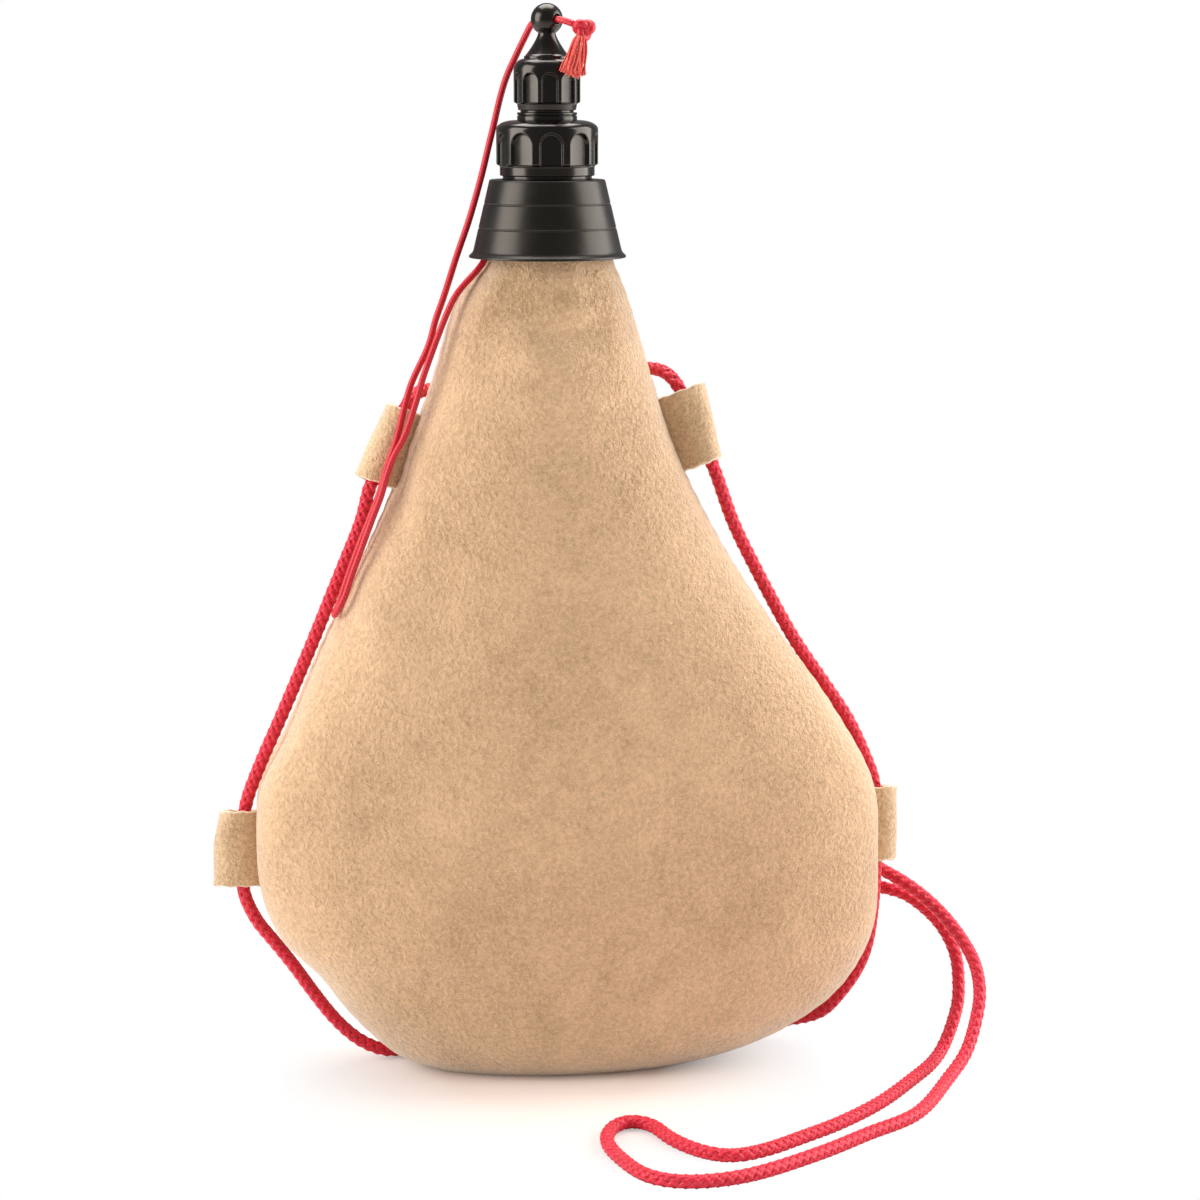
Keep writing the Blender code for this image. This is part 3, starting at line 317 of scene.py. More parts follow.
class Finish:
    """One material with a Principled shader and the nodes that feed it."""

    def __init__(self, name, colour, roughness, **fixed):
        self.material = bpy.data.materials.new(name)
        self.material.use_nodes = True
        self.material.diffuse_color = (*colour, 1.0)
        self.tree = self.material.node_tree
        self.shader = self.tree.nodes["Principled BSDF"]
        self.shader.inputs["Base Color"].default_value = (*colour, 1.0)
        self.shader.inputs["Roughness"].default_value = roughness
        for socket, value in fixed.items():
            self.shader.inputs[socket.replace("_", " ")].default_value = value

    def node(self, kind, settings=None, sockets=None, output=0):
        made = self.tree.nodes.new(kind)
        for key, value in (settings or {}).items():
            setattr(made, key, value)
        for key, value in (sockets or {}).items():
            plug(made.inputs[key], value)
        return Signal(self.tree, made.outputs[output])

    def place(self):
        """The point's own place on the object, in metres."""
        return self.node("ShaderNodeTexCoord", output="Object")

    def surface(self):
        """The point on the piece's own map, in metres along it and round it."""
        return self.node("ShaderNodeUVMap", {"uv_map": "surface"})

    def noise(self, coordinates, scale, detail=3.0, roughness=0.5, distortion=0.0):
        return self.node("ShaderNodeTexNoise", sockets={
            "Vector": coordinates, "Scale": scale, "Detail": detail, "Roughness": roughness,
            "Distortion": distortion,
        })

    def stretched(self, coordinates, scale):
        """The same coordinates with each axis scaled by its own amount."""
        return self.node("ShaderNodeMapping", sockets={"Vector": coordinates, "Scale": scale})

    def mixed(self, factor, first, second):
        """A colour that goes from the first to the second."""
        ends = [end if isinstance(end, Signal) else (*end, 1.0) for end in (first, second)]
        return self.node("ShaderNodeMix", {"data_type": "RGBA"}, {0: factor, 6: ends[0], 7: ends[1]}, 2)

    def feed(self, socket, signal):
        plug(self.shader.inputs[socket], signal)

    def bumped(self, height, distance, strength=1.0):
        """Small relief: the height signal, times a distance in metres, tilts the surface."""
        self.feed("Normal", self.node("ShaderNodeBump", sockets={
            "Height": height, "Distance": distance, "Strength": strength,
        }))


# %% [markdown]
# The strap is a round braid of eight flat strands in satin thread. Four of them wind one way and four
# the other, and each passes over one neighbour and under the next. Every strand is modelled, because
# the braid's outline and its dashes show even from afar. Fine threads along a strand are only relief.

# %% Red cord finishes
strap_red = Finish(
    "braided_cord", (0.68, 0.008, 0.034), 0.4,
    Sheen_Weight=0.3, Sheen_Roughness=0.35, Sheen_Tint=(1.0, 0.40, 0.55, 1.0),
)
threads = strap_red.noise(strap_red.stretched(strap_red.surface(), (4200.0, 260.0, 1.0)), 1.0, 2.0)
patches = strap_red.noise(strap_red.place(), 260.0, 2.0)
strap_red.feed("Base Color", strap_red.mixed(
    (threads * 0.75 + patches * 0.4).ramped(0.3, 0.85), (0.54, 0.004, 0.020), (0.86, 0.018, 0.055)
))
strap_red.feed("Roughness", threads.ramped(0.2, 0.8) * 0.2 + 0.32)
strap_red.bumped(threads, 0.00012, 0.7)

tether_red = Finish(
    "thin_cord", (0.50, 0.010, 0.02), 0.42,
    Sheen_Weight=0.2, Sheen_Roughness=0.35, Sheen_Tint=(1.0, 0.45, 0.5, 1.0),
)
ribs = tether_red.node("ShaderNodeTexWave", {"bands_direction": "DIAGONAL"}, {
    "Vector": tether_red.surface(), "Scale": 520.0, "Distortion": 0.6, "Detail": 1.0,
}, output="Fac")
tether_red.feed("Base Color", tether_red.mixed(ribs, (0.52, 0.006, 0.018), (0.68, 0.016, 0.034)))
tether_red.bumped(ribs, 0.00005, 0.5)

# %% The strap's route, in millimetres
STRAP_BACK_LEFT = (
    (-48.3, 0.3, 195.2), (-46.4, 0, 200.6), (-44.6, 0, 205.6), (-42.5, 1.2, 209.4),
    (-39.63, 5.61, 212.01), (-35.8, 12.55, 212.08), (-30.27, 18.86, 211.63), (-22.6, 24, 209.6),
    (-13.8, 28, 205.2), (-6.6, 30.6, 198), (-3.1, 32.4, 188.5), (-1.9, 33.8, 177.5), (-0.8, 35.4, 165),
    (0.2, 37.4, 155.4),
)
STRAP_LEFT = (
    (-48.5, 0.3, 194.7), (-50.9, 0.6, 189.9), (-54.3, 0.9, 184.4), (-57, 1.2, 173.57),
    (-62, 1.6, 161.28), (-67.09, 2.1, 148.88), (-72.16, 2.6, 136.49), (-77.46, 3.1, 124.08),
    (-82.87, 3.5, 111.57), (-88.44, 3.8, 99.18), (-93.3, 4, 86.8), (-94.6, 4, 79), (-95, 4, 71.4),
)
STRAP_BOTTOM = (
    (-95, 4, 70.9), (-95.1, 4, 63), (-94.9, 4.2, 56.6), (-90.95, 5.5, 47.37), (-86.72, 6.5, 41.65),
    (-80.02, 8, 32.28), (-73.6, 9, 22.51), (-66.82, 9.5, 13.31), (-59.04, 9.5, 6.17), (-50.5, 9.8, 2.6),
    (-44.89, 14.58, 2.2), (-36.52, 20.82, 2.2), (-25, 25.8, 2.2), (-10, 28.8, 2.2), (12, 30.2, 2.2),
    (34, 29.8, 2.2), (50, 28, 2.3), (64, 22.8, 3.3), (76, 16, 6.4), (87.6, 9, 10.8), (93.4, 5.6, 18),
    (97.6, 4.5, 24.2), (100.6, 4.1, 30.4), (102.4, 4, 37.5), (103.6, 4, 48), (104.1, 4, 59),
    (104.2, 4, 72.7),
)
STRAP_RIGHT = (
    (104.2, 4, 73.2), (103.9, 4, 80), (103.3, 4, 88), (100.73, 4, 94.99), (94.87, 3.8, 107.6),
    (86.27, 3.38, 120.58), (77.34, 2.77, 133.62), (70.09, 2.28, 146.38), (63.37, 1.8, 159.1),
    (57.16, 1.2, 171.79), (51.24, 0.7, 188.19), (45.9, 0.4, 199.6),
)
STRAP_BACK_RIGHT = (
    (45.7, 0.3, 200.1), (43.4, 0, 206.2), (41.1, 0, 211.6), (38.9, 1.5, 215.6), (36, 5.8, 217.9),
    (32.4, 11.4, 218.1), (27.4, 17, 217.2), (20.5, 22.2, 213.9), (13, 26.4, 207.6), (7.6, 29.4, 199),
    (5, 31.6, 188), (4.8, 33.2, 177), (6.4, 35, 164), (9.5, 37, 149), (15, 39.4, 131), (23, 41.2, 112),
    (35, 42.2, 96), (50, 41.4, 84), (67, 39.4, 74), (83.5, 35.6, 66.5), (98.27, 28.65, 61),
    (105.93, 18.99, 57),
)
STRAP_FREE_LOOP = (
    (106.1, 18, 56.9), (112.04, 11.5, 54.51), (116.67, 8.5, 51.87), (121.62, 5.5, 48.1),
    (125.52, 3, 44.4), (128.77, 0.5, 40.56), (131.69, -2, 36.26), (134.39, -5.5, 31.12),
    (135.2, -9.5, 25.72), (134.46, -14, 19.59), (128.8, -24, 8.3), (120, -38, 4), (104.4, -65.3, 2.2),
    (86, -82, 2.2), (68.6, -97.3, 2.2), (46.8, -112.3, 2.2), (29.6, -116.1, 2.2), (17.9, -110.1, 2.2),
    (11.5, -93.8, 2.2), (9.5, -80, 2.2), (12.5, -68.5, 2.2), (18.5, -63.5, 2.2), (24.5, -68.5, 2.2),
    (28, -79.5, 2.2), (34.5, -90.5, 2.2), (43.2, -96.3, 2.2), (54, -92.4, 2.2), (66.7, -82.6, 2.2),
    (80.4, -70.9, 2.2), (96.1, -53.4, 2.2), (111.7, -30.3, 2.2), (117.97, -20.07, 2.2),
    (123.58, -9.5, 3.01), (126.84, -6, 7.68), (129.14, -3.2, 12.51), (130.8, -0.8, 17.34),
    (131.2, 3.7, 27.77), (129.85, 5.8, 33.1), (127.3, 7.8, 38.1), (123.7, 9.5, 42.4), (119.5, 12, 45.9),
    (114.8, 14.5, 48.6), (109.6, 16.9, 49.9),
)
STRAP_BACK_TAIL = (
    (1.6, 38.8, 140.6), (3.6, 39.4, 132), (7.2, 40.8, 120), (13, 42.4, 104), (23, 43, 88),
    (38, 42.6, 74.5), (56, 40.6, 64.5), (74.5, 37, 57.5), (91, 31.6, 52.6), (102.4, 24.2, 50.3),
    (108.3, 17.6, 49.1),
)


def joined_route(stretches):
    """One line in metres: where a stretch ends beside the next one's start, both become their middle."""
    points = [np.array(stretch, float) / 1000 for stretch in stretches]
    for i in range(len(points) - 1):
        meeting = (points[i][-1] + points[i + 1][0]) / 2
        points[i] = np.vstack([points[i][:-1], meeting])
        points[i + 1] = points[i + 1][1:]
    return np.vstack(points)


BRAID_PITCH = 0.012
STRAP_SPACING = BRAID_PITCH / 16
strap_line = joined_route([
    STRAP_BACK_LEFT[::-1], STRAP_LEFT, STRAP_BOTTOM, STRAP_RIGHT, STRAP_BACK_RIGHT, STRAP_FREE_LOOP,
    STRAP_BACK_TAIL[::-1],
])
strap_line = relaxed(even_line(smooth_curve(strap_line, 24), STRAP_SPACING), 24)
strap_line = even_line(strap_line, STRAP_SPACING)
print(f"strap: {travelled(strap_line)[-1]:.3f} m")

# %% Braid
BRAID_ORBIT = 0.00145
BRAID_WEAVE = 0.00017
STRAND_THICKNESS = 0.00058
STRAND_WIDTH = 0.00096
BRAID_CORE = 0.00132


def braid_tubes(line, first, sides=5):
    """Eight strands on a line. A strand's angle round it grows evenly, four with and four against the
    clock. Its distance from the line swells and shrinks as the cosine of four times that turn, with
    the other sign for the other four, so one is always over where two cross. A core fills the middle."""
    _, across, other = carried_frame(line, first)
    turn = math.tau * travelled(line) / BRAID_PITCH
    tubes = []
    for strand in range(8):
        way = 1 if strand < 4 else -1
        angle = (way * turn + strand * math.pi / 2)[:, None]
        out = across * np.cos(angle) + other * np.sin(angle)
        centre = line + out * (BRAID_ORBIT + way * BRAID_WEAVE * np.cos(4 * turn))[:, None]
        along = unit(np.gradient(centre, axis=0))
        out = unit(out - along * np.sum(out * along, axis=1, keepdims=True))
        beside = np.cross(along, out)
        rings = tube_rings(centre, out, beside, STRAND_THICKNESS, STRAND_WIDTH, sides)
        tubes.append(closed_tube(rings, math.tau * STRAND_WIDTH))
    core = tube_rings(line[::2], across[::2], other[::2], BRAID_CORE, BRAID_CORE, 8)
    tubes.append(closed_tube(core, math.tau * BRAID_CORE))
    return tubes


strap = add_tubes("strap", braid_tubes(strap_line, (0.0, -1.0, 0.0)))
finished(strap, "bag", strap_red.material, (
    "strap_left", "strap_bottom", "strap_right", "strap_back_right", "strap_free_loop",
    "strap_back_tail", "strap_back_left",
))

# %% [markdown]
# The strap is a ring, and the knot that closes it lies on the bag's back. Two and a half turns of
# the same braid, wound tightly round the two ends, give the knot's look without tying one.

# %% Strap knot
KNOT_MIDDLE = np.array((0.0008, 0.0390, 0.1480))
turns = np.linspace(-0.25, 2.15, 120)
knot_line = KNOT_MIDDLE + np.stack([
    0.0031 * np.cos(math.tau * turns),
    0.0026 * np.sin(math.tau * turns),
    0.0041 * (turns - 0.95),
], axis=1)
knot_line = even_line(knot_line, STRAP_SPACING)
strap_knot = add_tubes("strap_knot_braid", braid_tubes(knot_line, (0.0, 0.0, 1.0)))
finished(strap_knot, "bag", strap_red.material, ("strap_knot",))

# %% [markdown]
# The thin tether keeps the stopper from being lost. It leaves the neck below the collar, hangs in a
# narrow bight beside the bag and climbs to the ball, where its end is knotted and frayed. When the
# caps are unscrewed they rise, so the tether is made as two pieces.

# %% Tether, in millimetres
TETHER_CORD = (
    (-17.61, -3.8, 256.6), (-18.48, -4.21, 254.04), (-19.57, -4.67, 252.14), (-21.62, -5.89, 249.6),
    (-24.9, -7.5, 246.4), (-28, -8.7, 242.9), (-30, -9, 239.4), (-33.9, -9.4, 230),
    (-38.4, -9.8, 217.9), (-40.4, -9.8, 211), (-44, -9.8, 200.5), (-47.3, -9.8, 194.6),
    (-49.5, -9.8, 188.8), (-51.3, -9.8, 182.4), (-53.6, -9.6, 176.6), (-60.6, -9.6, 157.9),
    (-62.6, -9.8, 151.8), (-64.6, -9.6, 148.2), (-65.7, -8.5, 146), (-66, -7, 145.3),
    (-65.8, -5.5, 146), (-64.5, -4.6, 148.4), (-62.6, -4.4, 154), (-59.1, -5.3, 164),
    (-54.9, -6, 174.6), (-51.4, -6.8, 183.7), (-49.3, -7, 191.3), (-46.5, -7.2, 198.8),
    (-43.4, -7, 210.8), (-41.4, -6.4, 216.8), (-36.4, -5, 227), (-34.2, -2.9, 234.5),
    (-31.6, -1, 241.1), (-27, 3.5, 254.1), (-23.3, 5, 264.2), (-19.5, 6.6, 276.8), (-17.1, 8, 286),
    (-15.2, 8.9, 293.3), (-14.2, 9.2, 297.4),
)
TETHER_TOP = (
    (-14.15, 9.2, 297.8), (-12.8, 9.3, 302.8), (-11.2, 8.9, 307.6), (-9, 8.2, 312.3), (-6.8, 7.5, 317),
    (-5.3, 6.9, 319.8), (-4.4, 5.9, 322.2), (-3.1, 4.1, 323.45), (0, 0, 323.8), (2.6, -3.4, 323.7),
    (4.4, -5.4, 323.4), (7.4, -7.1, 322.2),
)
TETHER_RADIUS = 0.001
TETHER_MEETING = (-0.01418, 0.0092, 0.2976)

whole = joined_route([TETHER_CORD, TETHER_TOP])
whole = relaxed(even_line(smooth_curve(whole, 24), 0.0005), 24)
parting = int(np.argmin(np.linalg.norm(whole - TETHER_MEETING, axis=1)))
_, tether_out, tether_beside = carried_frame(whole, (0.0, -1.0, 0.0))
tether_rings = tube_rings(whole, tether_out, tether_beside, TETHER_RADIUS, TETHER_RADIUS, 14)
tether_girth = math.tau * TETHER_RADIUS
tether = add_tubes("tether", [closed_tube(tether_rings[:parting + 1], tether_girth)])
tether_end = add_tubes("tether_end", [closed_tube(tether_rings[parting:], tether_girth)])
for cord in (tether, tether_end):
    cord.data.materials.append(tether_red.material)
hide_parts("tether_cord")
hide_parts("tether_top")
print(f"tether: {travelled(whole)[-1]:.3f} m")

# %% Tether knot and tassel
TETHER_KNOT = np.array((0.0103, -0.0082, 0.3206))
KNOTTED_RADIUS = 0.00132
round_knot = np.linspace(0.0, math.tau, 160)
overhand = TETHER_KNOT + 0.00080 * np.stack([
    np.sin(round_knot) + 2 * np.sin(2 * round_knot),
    -0.9 * np.sin(3 * round_knot),
    np.cos(round_knot) - 2 * np.cos(2 * round_knot),
], axis=1)
_, knot_out, knot_beside = carried_frame(overhand, (0.0, -1.0, 0.0))
knot_rings = tube_rings(overhand, knot_out, knot_beside, KNOTTED_RADIUS, KNOTTED_RADIUS, 12)
tether_knot = add_tubes("tether_knot_cord", [closed_tube(knot_rings, tether_girth)])
finished(tether_knot, "stopper", tether_red.material, ("tether_knot",))

# %% [markdown]
# The frayed end is a fan of loose threads. Each is a thin tube that leaves the knot with the others,
# spreads on its own slant and waves a little. One array holds the points of them all.

# %% Tassel
tassel_red = Finish(
    "frayed_cord", (0.85, 0.09, 0.06), 0.6,
    Sheen_Weight=0.7, Sheen_Roughness=0.4, Sheen_Tint=(1.0, 0.6, 0.5, 1.0),
)
strand_tint = tassel_red.noise(tassel_red.stretched(tassel_red.place(), (2600.0, 2600.0, 200.0)), 1.0)
tassel_red.feed("Base Color", tassel_red.mixed(
    strand_tint.ramped(0.3, 0.7), (0.66, 0.03, 0.025), (0.96, 0.17, 0.12)
))

TASSEL_TOP = np.array((0.0089, -0.0096, 0.3172))
TASSEL_FOOT = np.array((0.0062, -0.0122, 0.3062))
THREADS, THREAD_POINTS, THREAD_SIDES, THREAD_RADIUS = 190, 12, 5, 0.00025
rng = np.random.default_rng(7)
fall = np.linspace(0.0, 1.0, THREAD_POINTS)[None, :, None]
axis = unit(TASSEL_FOOT - TASSEL_TOP)
outward = unit(np.array((0.55, -0.80, 0.0)))
outward = unit(outward - axis * outward.dot(axis))
sideways = np.cross(axis, outward)
spread = rng.normal(0.0, 1.0, (THREADS, 1, 2)) * (0.0019, 0.0011)
spread = np.clip(spread, -0.0034, 0.0034)
lengths = rng.uniform(0.82, 1.06, (THREADS, 1, 1))
wave = rng.uniform(0.0, math.tau, (THREADS, 1, 2))
middle = TASSEL_TOP + (TASSEL_FOOT - TASSEL_TOP) * (fall * lengths - 0.12)
opened = 0.34 + 0.66 * fall ** 0.6
shift = spread * opened + 0.00028 * np.sin(fall * 6.0 + wave) * fall
thread_lines = middle + sideways * shift[..., :1] + outward * shift[..., 1:]
angle = once_round(THREAD_SIDES)[None, None, :, None]
thread_rings = outward * np.cos(angle) + sideways * np.sin(angle)
thread_rings = thread_lines[:, :, None] + THREAD_RADIUS * thread_rings
tassel = add_tubes("tassel_threads", [closed_tube(rings, 0.001) for rings in thread_rings])
finished(tassel, "stopper", tassel_red.material, ("tether_tassel",))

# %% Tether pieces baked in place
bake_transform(tether)
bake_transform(tether_end)

# %% [markdown]
# Suede is leather with its flesh side out. Its short nap lies this way and that, so the surface shows
# soft blotches of lighter and darker tan, a fine grain and a pale bloom where it turns away. The
# blotches and the grain are noises of different sizes, and the bloom is the shader's sheen.


# %% Suede
def suede_finish(name, dark, light, nap_scale, contrast, relief, strip=None):
    """Tan suede whose nap goes from a dark tone to a light one, with a few raised fibres catching light.
    A strip is cut, and its pale edges are the last fifth of each of its widths on the map."""
    suede = Finish(
        name, light, 0.95, Sheen_Weight=0.85, Sheen_Roughness=0.5,
        Sheen_Tint=(1.0, 0.97, 0.92, 1.0), Specular_IOR_Level=0.12,
    )
    place = suede.place()
    nap = suede.noise(place, nap_scale, 2.0, 0.5, 0.2)
    grain = suede.noise(place, nap_scale * 2.6, 2.0, 0.5)
    blotches = suede.noise(place, 110.0, 3.0, 0.5, 0.3)
    drift = suede.noise(place, 22.0, 3.0, 0.5, 0.3)
    fibres = grain.ramped(0.58, 0.72)
    up = suede.node("ShaderNodeSeparateXYZ", sockets={0: place}, output=2)
    wear_and_shade_patches = suede.noise(suede.stretched(place, (1.0, 1.0, 1.8)), 42.0, 2.0, 0.5, 0.4).ramped(0.38, 0.60)
    tone = (nap - 0.5) * contrast + (grain - 0.5) * (0.6 * contrast)
    tone = tone + (blotches - 0.5) * 0.55 + (drift - 0.5) * 1.15 + 0.52
    # Towards the neck the tan darkens in patches: painted shade of the pinched folds under the collar.
    tone = tone - up.ramped(0.212, 0.246) * wear_and_shade_patches * 0.55
    bright = tuple(1.22 * c for c in light)
    colour = suede.mixed(fibres * 0.4, suede.mixed(tone.clamped(), dark, light), bright)
    if strip:
        round_strip = suede.node("ShaderNodeSeparateXYZ", sockets={0: suede.surface()})
        cut = (round_strip % strip).ramped(strip * 0.77, strip * 0.80)
        colour = suede.mixed(cut * 0.7, colour, (0.90, 0.74, 0.55))
    suede.feed("Base Color", colour)
    suede.bumped(nap + grain * 0.5 + blotches * 0.6, 0.0007, relief)
    return suede.material


suede = suede_finish("suede", (0.47, 0.286, 0.152), (0.81, 0.530, 0.312), 700.0, 1.15, 1.0)
LOOP_LENGTH = 0.0240
loop_suede = suede_finish(
    "loop_suede", (0.46, 0.285, 0.150), (0.86, 0.590, 0.355), 800.0, 1.2, 1.0, LOOP_LENGTH
)

# %% [markdown]
# The bag is two panels, sewn along their edge and turned, so the seam lies in a shallow valley. Its
# outline is a table of heights, widths and depths from the base to the collar, and a smooth curve
# runs through the table. Round each height the panels bulge past the seam where the bag is full.

# %% Table of the bag
BAG_HEIGHT = 0.252
BAG_WIDTH = 0.1936
BAG_DEPTH = 0.072
SEAM_BACK = 0.004
BAG_SHARES = (
    (0.000, -0.198, 0.247, 0.236, 0.00, 1.000),
    (0.016, -0.245, 0.318, 0.312, 0.05, 1.000),
    (0.040, -0.281, 0.387, 0.368, 0.10, 1.000),
    (0.079, -0.325, 0.457, 0.417, 0.18, 1.000),
    (0.127, -0.370, 0.503, 0.458, 0.25, 1.000),
    (0.183, -0.436, 0.528, 0.490, 0.30, 1.000),
    (0.262, -0.466, 0.531, 0.500, 0.30, 1.000),
    (0.357, -0.450, 0.521, 0.494, 0.30, 1.000),
    (0.456, -0.401, 0.451, 0.472, 0.25, 0.875),
    (0.556, -0.346, 0.359, 0.438, 0.15, 0.625),
    (0.655, -0.282, 0.277, 0.403, 0.08, 0.375),
    (0.754, -0.233, 0.212, 0.375, 0.00, 0.125),
    (0.853, -0.185, 0.167, 0.340, 0.00, 0.000),
    (0.952, -0.143, 0.129, 0.306, 0.00, 0.000),
    (1.000, -0.094, 0.104, 0.258, 0.00, 0.000),
)
NECK_RADIUS = 0.0148
bag_table = np.array(BAG_SHARES) * (BAG_HEIGHT, BAG_WIDTH, BAG_WIDTH, BAG_DEPTH, 1.0, SEAM_BACK)
bag_rows = np.maximum(smooth_curve(bag_table, 16), (-1, -1, -1, -1, 0, 0))
NECK_FOOT, NECK_TOP = BAG_HEIGHT + 0.007, 0.2719
rise = np.linspace(0.0, 1.0, 9)[1:, None]
eased = np.hstack([rise, np.repeat(soft_step(rise), 5, axis=1)])
narrow = np.array([[NECK_FOOT, -NECK_RADIUS, NECK_RADIUS, NECK_RADIUS, 0.0, 0.0]])
gather = bag_rows[-1:] + (narrow - bag_rows[-1:]) * eased
neck = np.repeat(narrow, 6, axis=0)
neck[:, 0] = np.linspace(NECK_FOOT, NECK_TOP, 7)[1:]
bag_rows = np.vstack([bag_rows, gather, neck])
BASE_STEPS = 10
base_share = np.concatenate([np.linspace(0.0, 1.0, BASE_STEPS + 1)[:-1], np.ones(len(bag_rows))])
bag_rows = np.vstack([np.repeat(bag_rows[:1], BASE_STEPS, axis=0), bag_rows])
bag_rows[:, 3] *= base_share

# %% [markdown]
# The skin then gets its softness. A valley follows the seam, with a low roll on each side and small
# puckers where the thread pulls. Pleats grow towards the collar, under which the leather is tied round
# the neck, and a few broad dents break the even curve. All of it fades out on the base and under the
# collar, where the skin has to lie flat.


# %% Bag surface
def bag_rings(rows, angle, side_inset=0.0, depth_inset=0.0):
    """Each row as a ring. Across, a cosine that bulges past the seams, scaled back to the row's width;
    in depth, a sine about the seam."""
    height, left, right, depth, bulge, seam = (rows[:, k, None] for k in range(6))
    shape = np.cos(angle) * (1 + bulge * np.abs(np.sin(angle)))
    shape = shape / shape.max(axis=1, keepdims=True)
    across = (left + right) / 2 - ((right - left) / 2 - side_inset) * shape
    back = seam - (depth - depth_inset) * np.sin(angle)
    return np.stack([across, back, np.broadcast_to(height, across.shape)], axis=2)


def bumps(across, up, centres):
    """A sum of soft round hills, each with a middle, two widths and a height in millimetres."""
    total = np.zeros(np.broadcast(across, up).shape)
    for x, z, wide, tall, height in np.array(centres) / 1000:
        total += height * np.exp(-((across - x) / wide) ** 2 - ((up - z) / tall) ** 2)
    return total


SEAM_SWELLS = (-56, 170, 6, 16, 0.8), (-86.5, 89.5, 9, 13.5, 2.3)
FRONT_DENTS = (
    *SEAM_SWELLS, (-9, 240, 8, 6, -1.8), (4, 231.5, 9, 4.5, -1.8), (-2, 223.5, 14, 5, 1),
    (-18, 226, 7, 10, -1), (0, 214, 12, 12, 0.8), (22, 196, 12, 20, -0.8), (-30, 160, 16, 30, -0.8),
    (40, 120, 22, 26, 0.8), (-10, 75, 30, 30, -1), (35, 30, 24, 18, -1), (-45, 40, 20, 20, 0.8),
    (-45.5, 187, 3, 14, -0.9), (-40, 178, 4, 18, 0.7), (-52, 164, 4, 12, -0.6),
    (-52, 146, 6.5, 22, 1.2), (-35, 150, 8, 26, -1), (-60, 94, 4, 3, -0.5), (-64, 87, 3, 5, 0.5),
    (-56, 83, 6, 3, -0.5),
)
BACK_DENTS = (
    *SEAM_SWELLS, (5, 228, 10, 18, -1.2), (-20, 190, 14, 22, -1), (30, 150, 20, 26, 0.8),
    (-30, 90, 26, 30, -1.2), (45, 60, 22, 24, 1),
)
COLUMNS = 320
PLEATS_LOW, PLEATS_HIGH, PLEAT_DEPTH = 0.212, 0.252, 0.0005
VALLEY_DEPTH, VALLEY_WIDTH = 0.0010, 0.0013
ROLL_PLACE, ROLL_WIDTH, ROLL_HEIGHT = 0.0050, 0.0032, 0.0003
PUCKER_PLACE, PUCKER_SPACING, PUCKER_HEIGHT = 0.0040, 0.0062, 0.00012
SEAM_FORWARD = 0.0030
WALL_FADE, SEAM_FADE = 0.012, 0.004
UNDER_COLLAR, COLLAR_FADE = 0.250, 0.006

bag_angle = once_round(COLUMNS)[None, :]
half = COLUMNS // 2
skin = bag_rings(bag_rows, bag_angle)
bag_x, bag_z = skin[..., 0], skin[..., 2]
seam_lines = {-1: skin[BASE_STEPS:, 0], 1: skin[BASE_STEPS:, half]}

step_round = np.roll(skin, -1, axis=1) - np.roll(skin, 1, axis=1)
step_up = np.gradient(skin, axis=0)
outward_skin = np.cross(step_up, step_round)
outward_skin /= np.maximum(np.linalg.norm(outward_skin, axis=2, keepdims=True), 1e-12)
facing = np.sum(outward_skin * (skin - skin.mean(axis=1, keepdims=True)), axis=2).mean()
outward_skin *= np.sign(facing)

gap = np.linalg.norm(np.roll(skin, -1, axis=1) - skin, axis=2)
run = np.hstack([np.zeros((len(skin), 1)), np.cumsum(gap, axis=1)])
from_seam = np.minimum(
    np.minimum(run[:, :-1], run[:, -1:] - run[:, :-1]),
    np.abs(run[:, :-1] - run[:, half:half + 1] + SEAM_FORWARD),
)
seam_run = travelled(skin[:, 0])[:, None]

above = np.clip((bag_z - PLEATS_LOW) / (PLEATS_HIGH - PLEATS_LOW), 0.0, 1.0)
folds = 0.62 * np.cos(7 * bag_angle + 0.8) + 0.38 * np.cos(12 * bag_angle + 2.1 + 30 * bag_z)
pleats = folds * PLEAT_DEPTH * soft_step(above)
full = np.clip(bag_rows[:, 4:5] / 0.22, 0.0, 1.0)
valley = -(0.1 + full) * VALLEY_DEPTH * np.exp(-(from_seam / VALLEY_WIDTH) ** 2)
roll = ROLL_HEIGHT * full * np.exp(-((from_seam - ROLL_PLACE) / ROLL_WIDTH) ** 2)
pucker = PUCKER_HEIGHT * np.exp(-((from_seam - PUCKER_PLACE) / PUCKER_PLACE) ** 2)
pucker = pucker * np.cos(math.tau * seam_run / PUCKER_SPACING)
front = np.sin(bag_angle) > 0
dents = np.where(front, bumps(bag_x, bag_z, FRONT_DENTS), bumps(bag_x, bag_z, BACK_DENTS))
on_side = base_share[:, None] >= 1.0
on_wall = np.clip(bag_z / WALL_FADE, 0.0, 1.0) * on_side
near_base = np.clip(bag_z / SEAM_FADE, 0.0, 1.0) * on_side
under_collar = 1.0 - np.clip((bag_z - UNDER_COLLAR) / COLLAR_FADE, 0.0, 1.0)
relief = (pleats + dents + pucker) * on_wall + (valley + roll) * near_base
skin = skin + outward_skin * (relief * under_collar)[..., None]
print("relief, mm:", round(relief.min() * 1000, 2), "to", round(relief.max() * 1000, 2))

# %% Panels
LEATHER = 0.002


def add_panel(name, columns):
    """Half of the skin, between its two seams, thickened inwards."""
    part = skin[:, columns]
    rows, count = part.shape[:2]
    panel = weld(add_mesh(name, part.reshape(-1, 3), grid_quads(rows, count, False)))
    return add_wall(panel, LEATHER)


ring = np.arange(COLUMNS + 1) % COLUMNS
front_panel = add_panel("bag_front", ring[:half + 1])
finished(front_panel, "bag", suede, ("front_panel",))
back_panel = add_panel("bag_back", ring[half:])
finished(back_panel, "bag", suede, ("back_panel",))

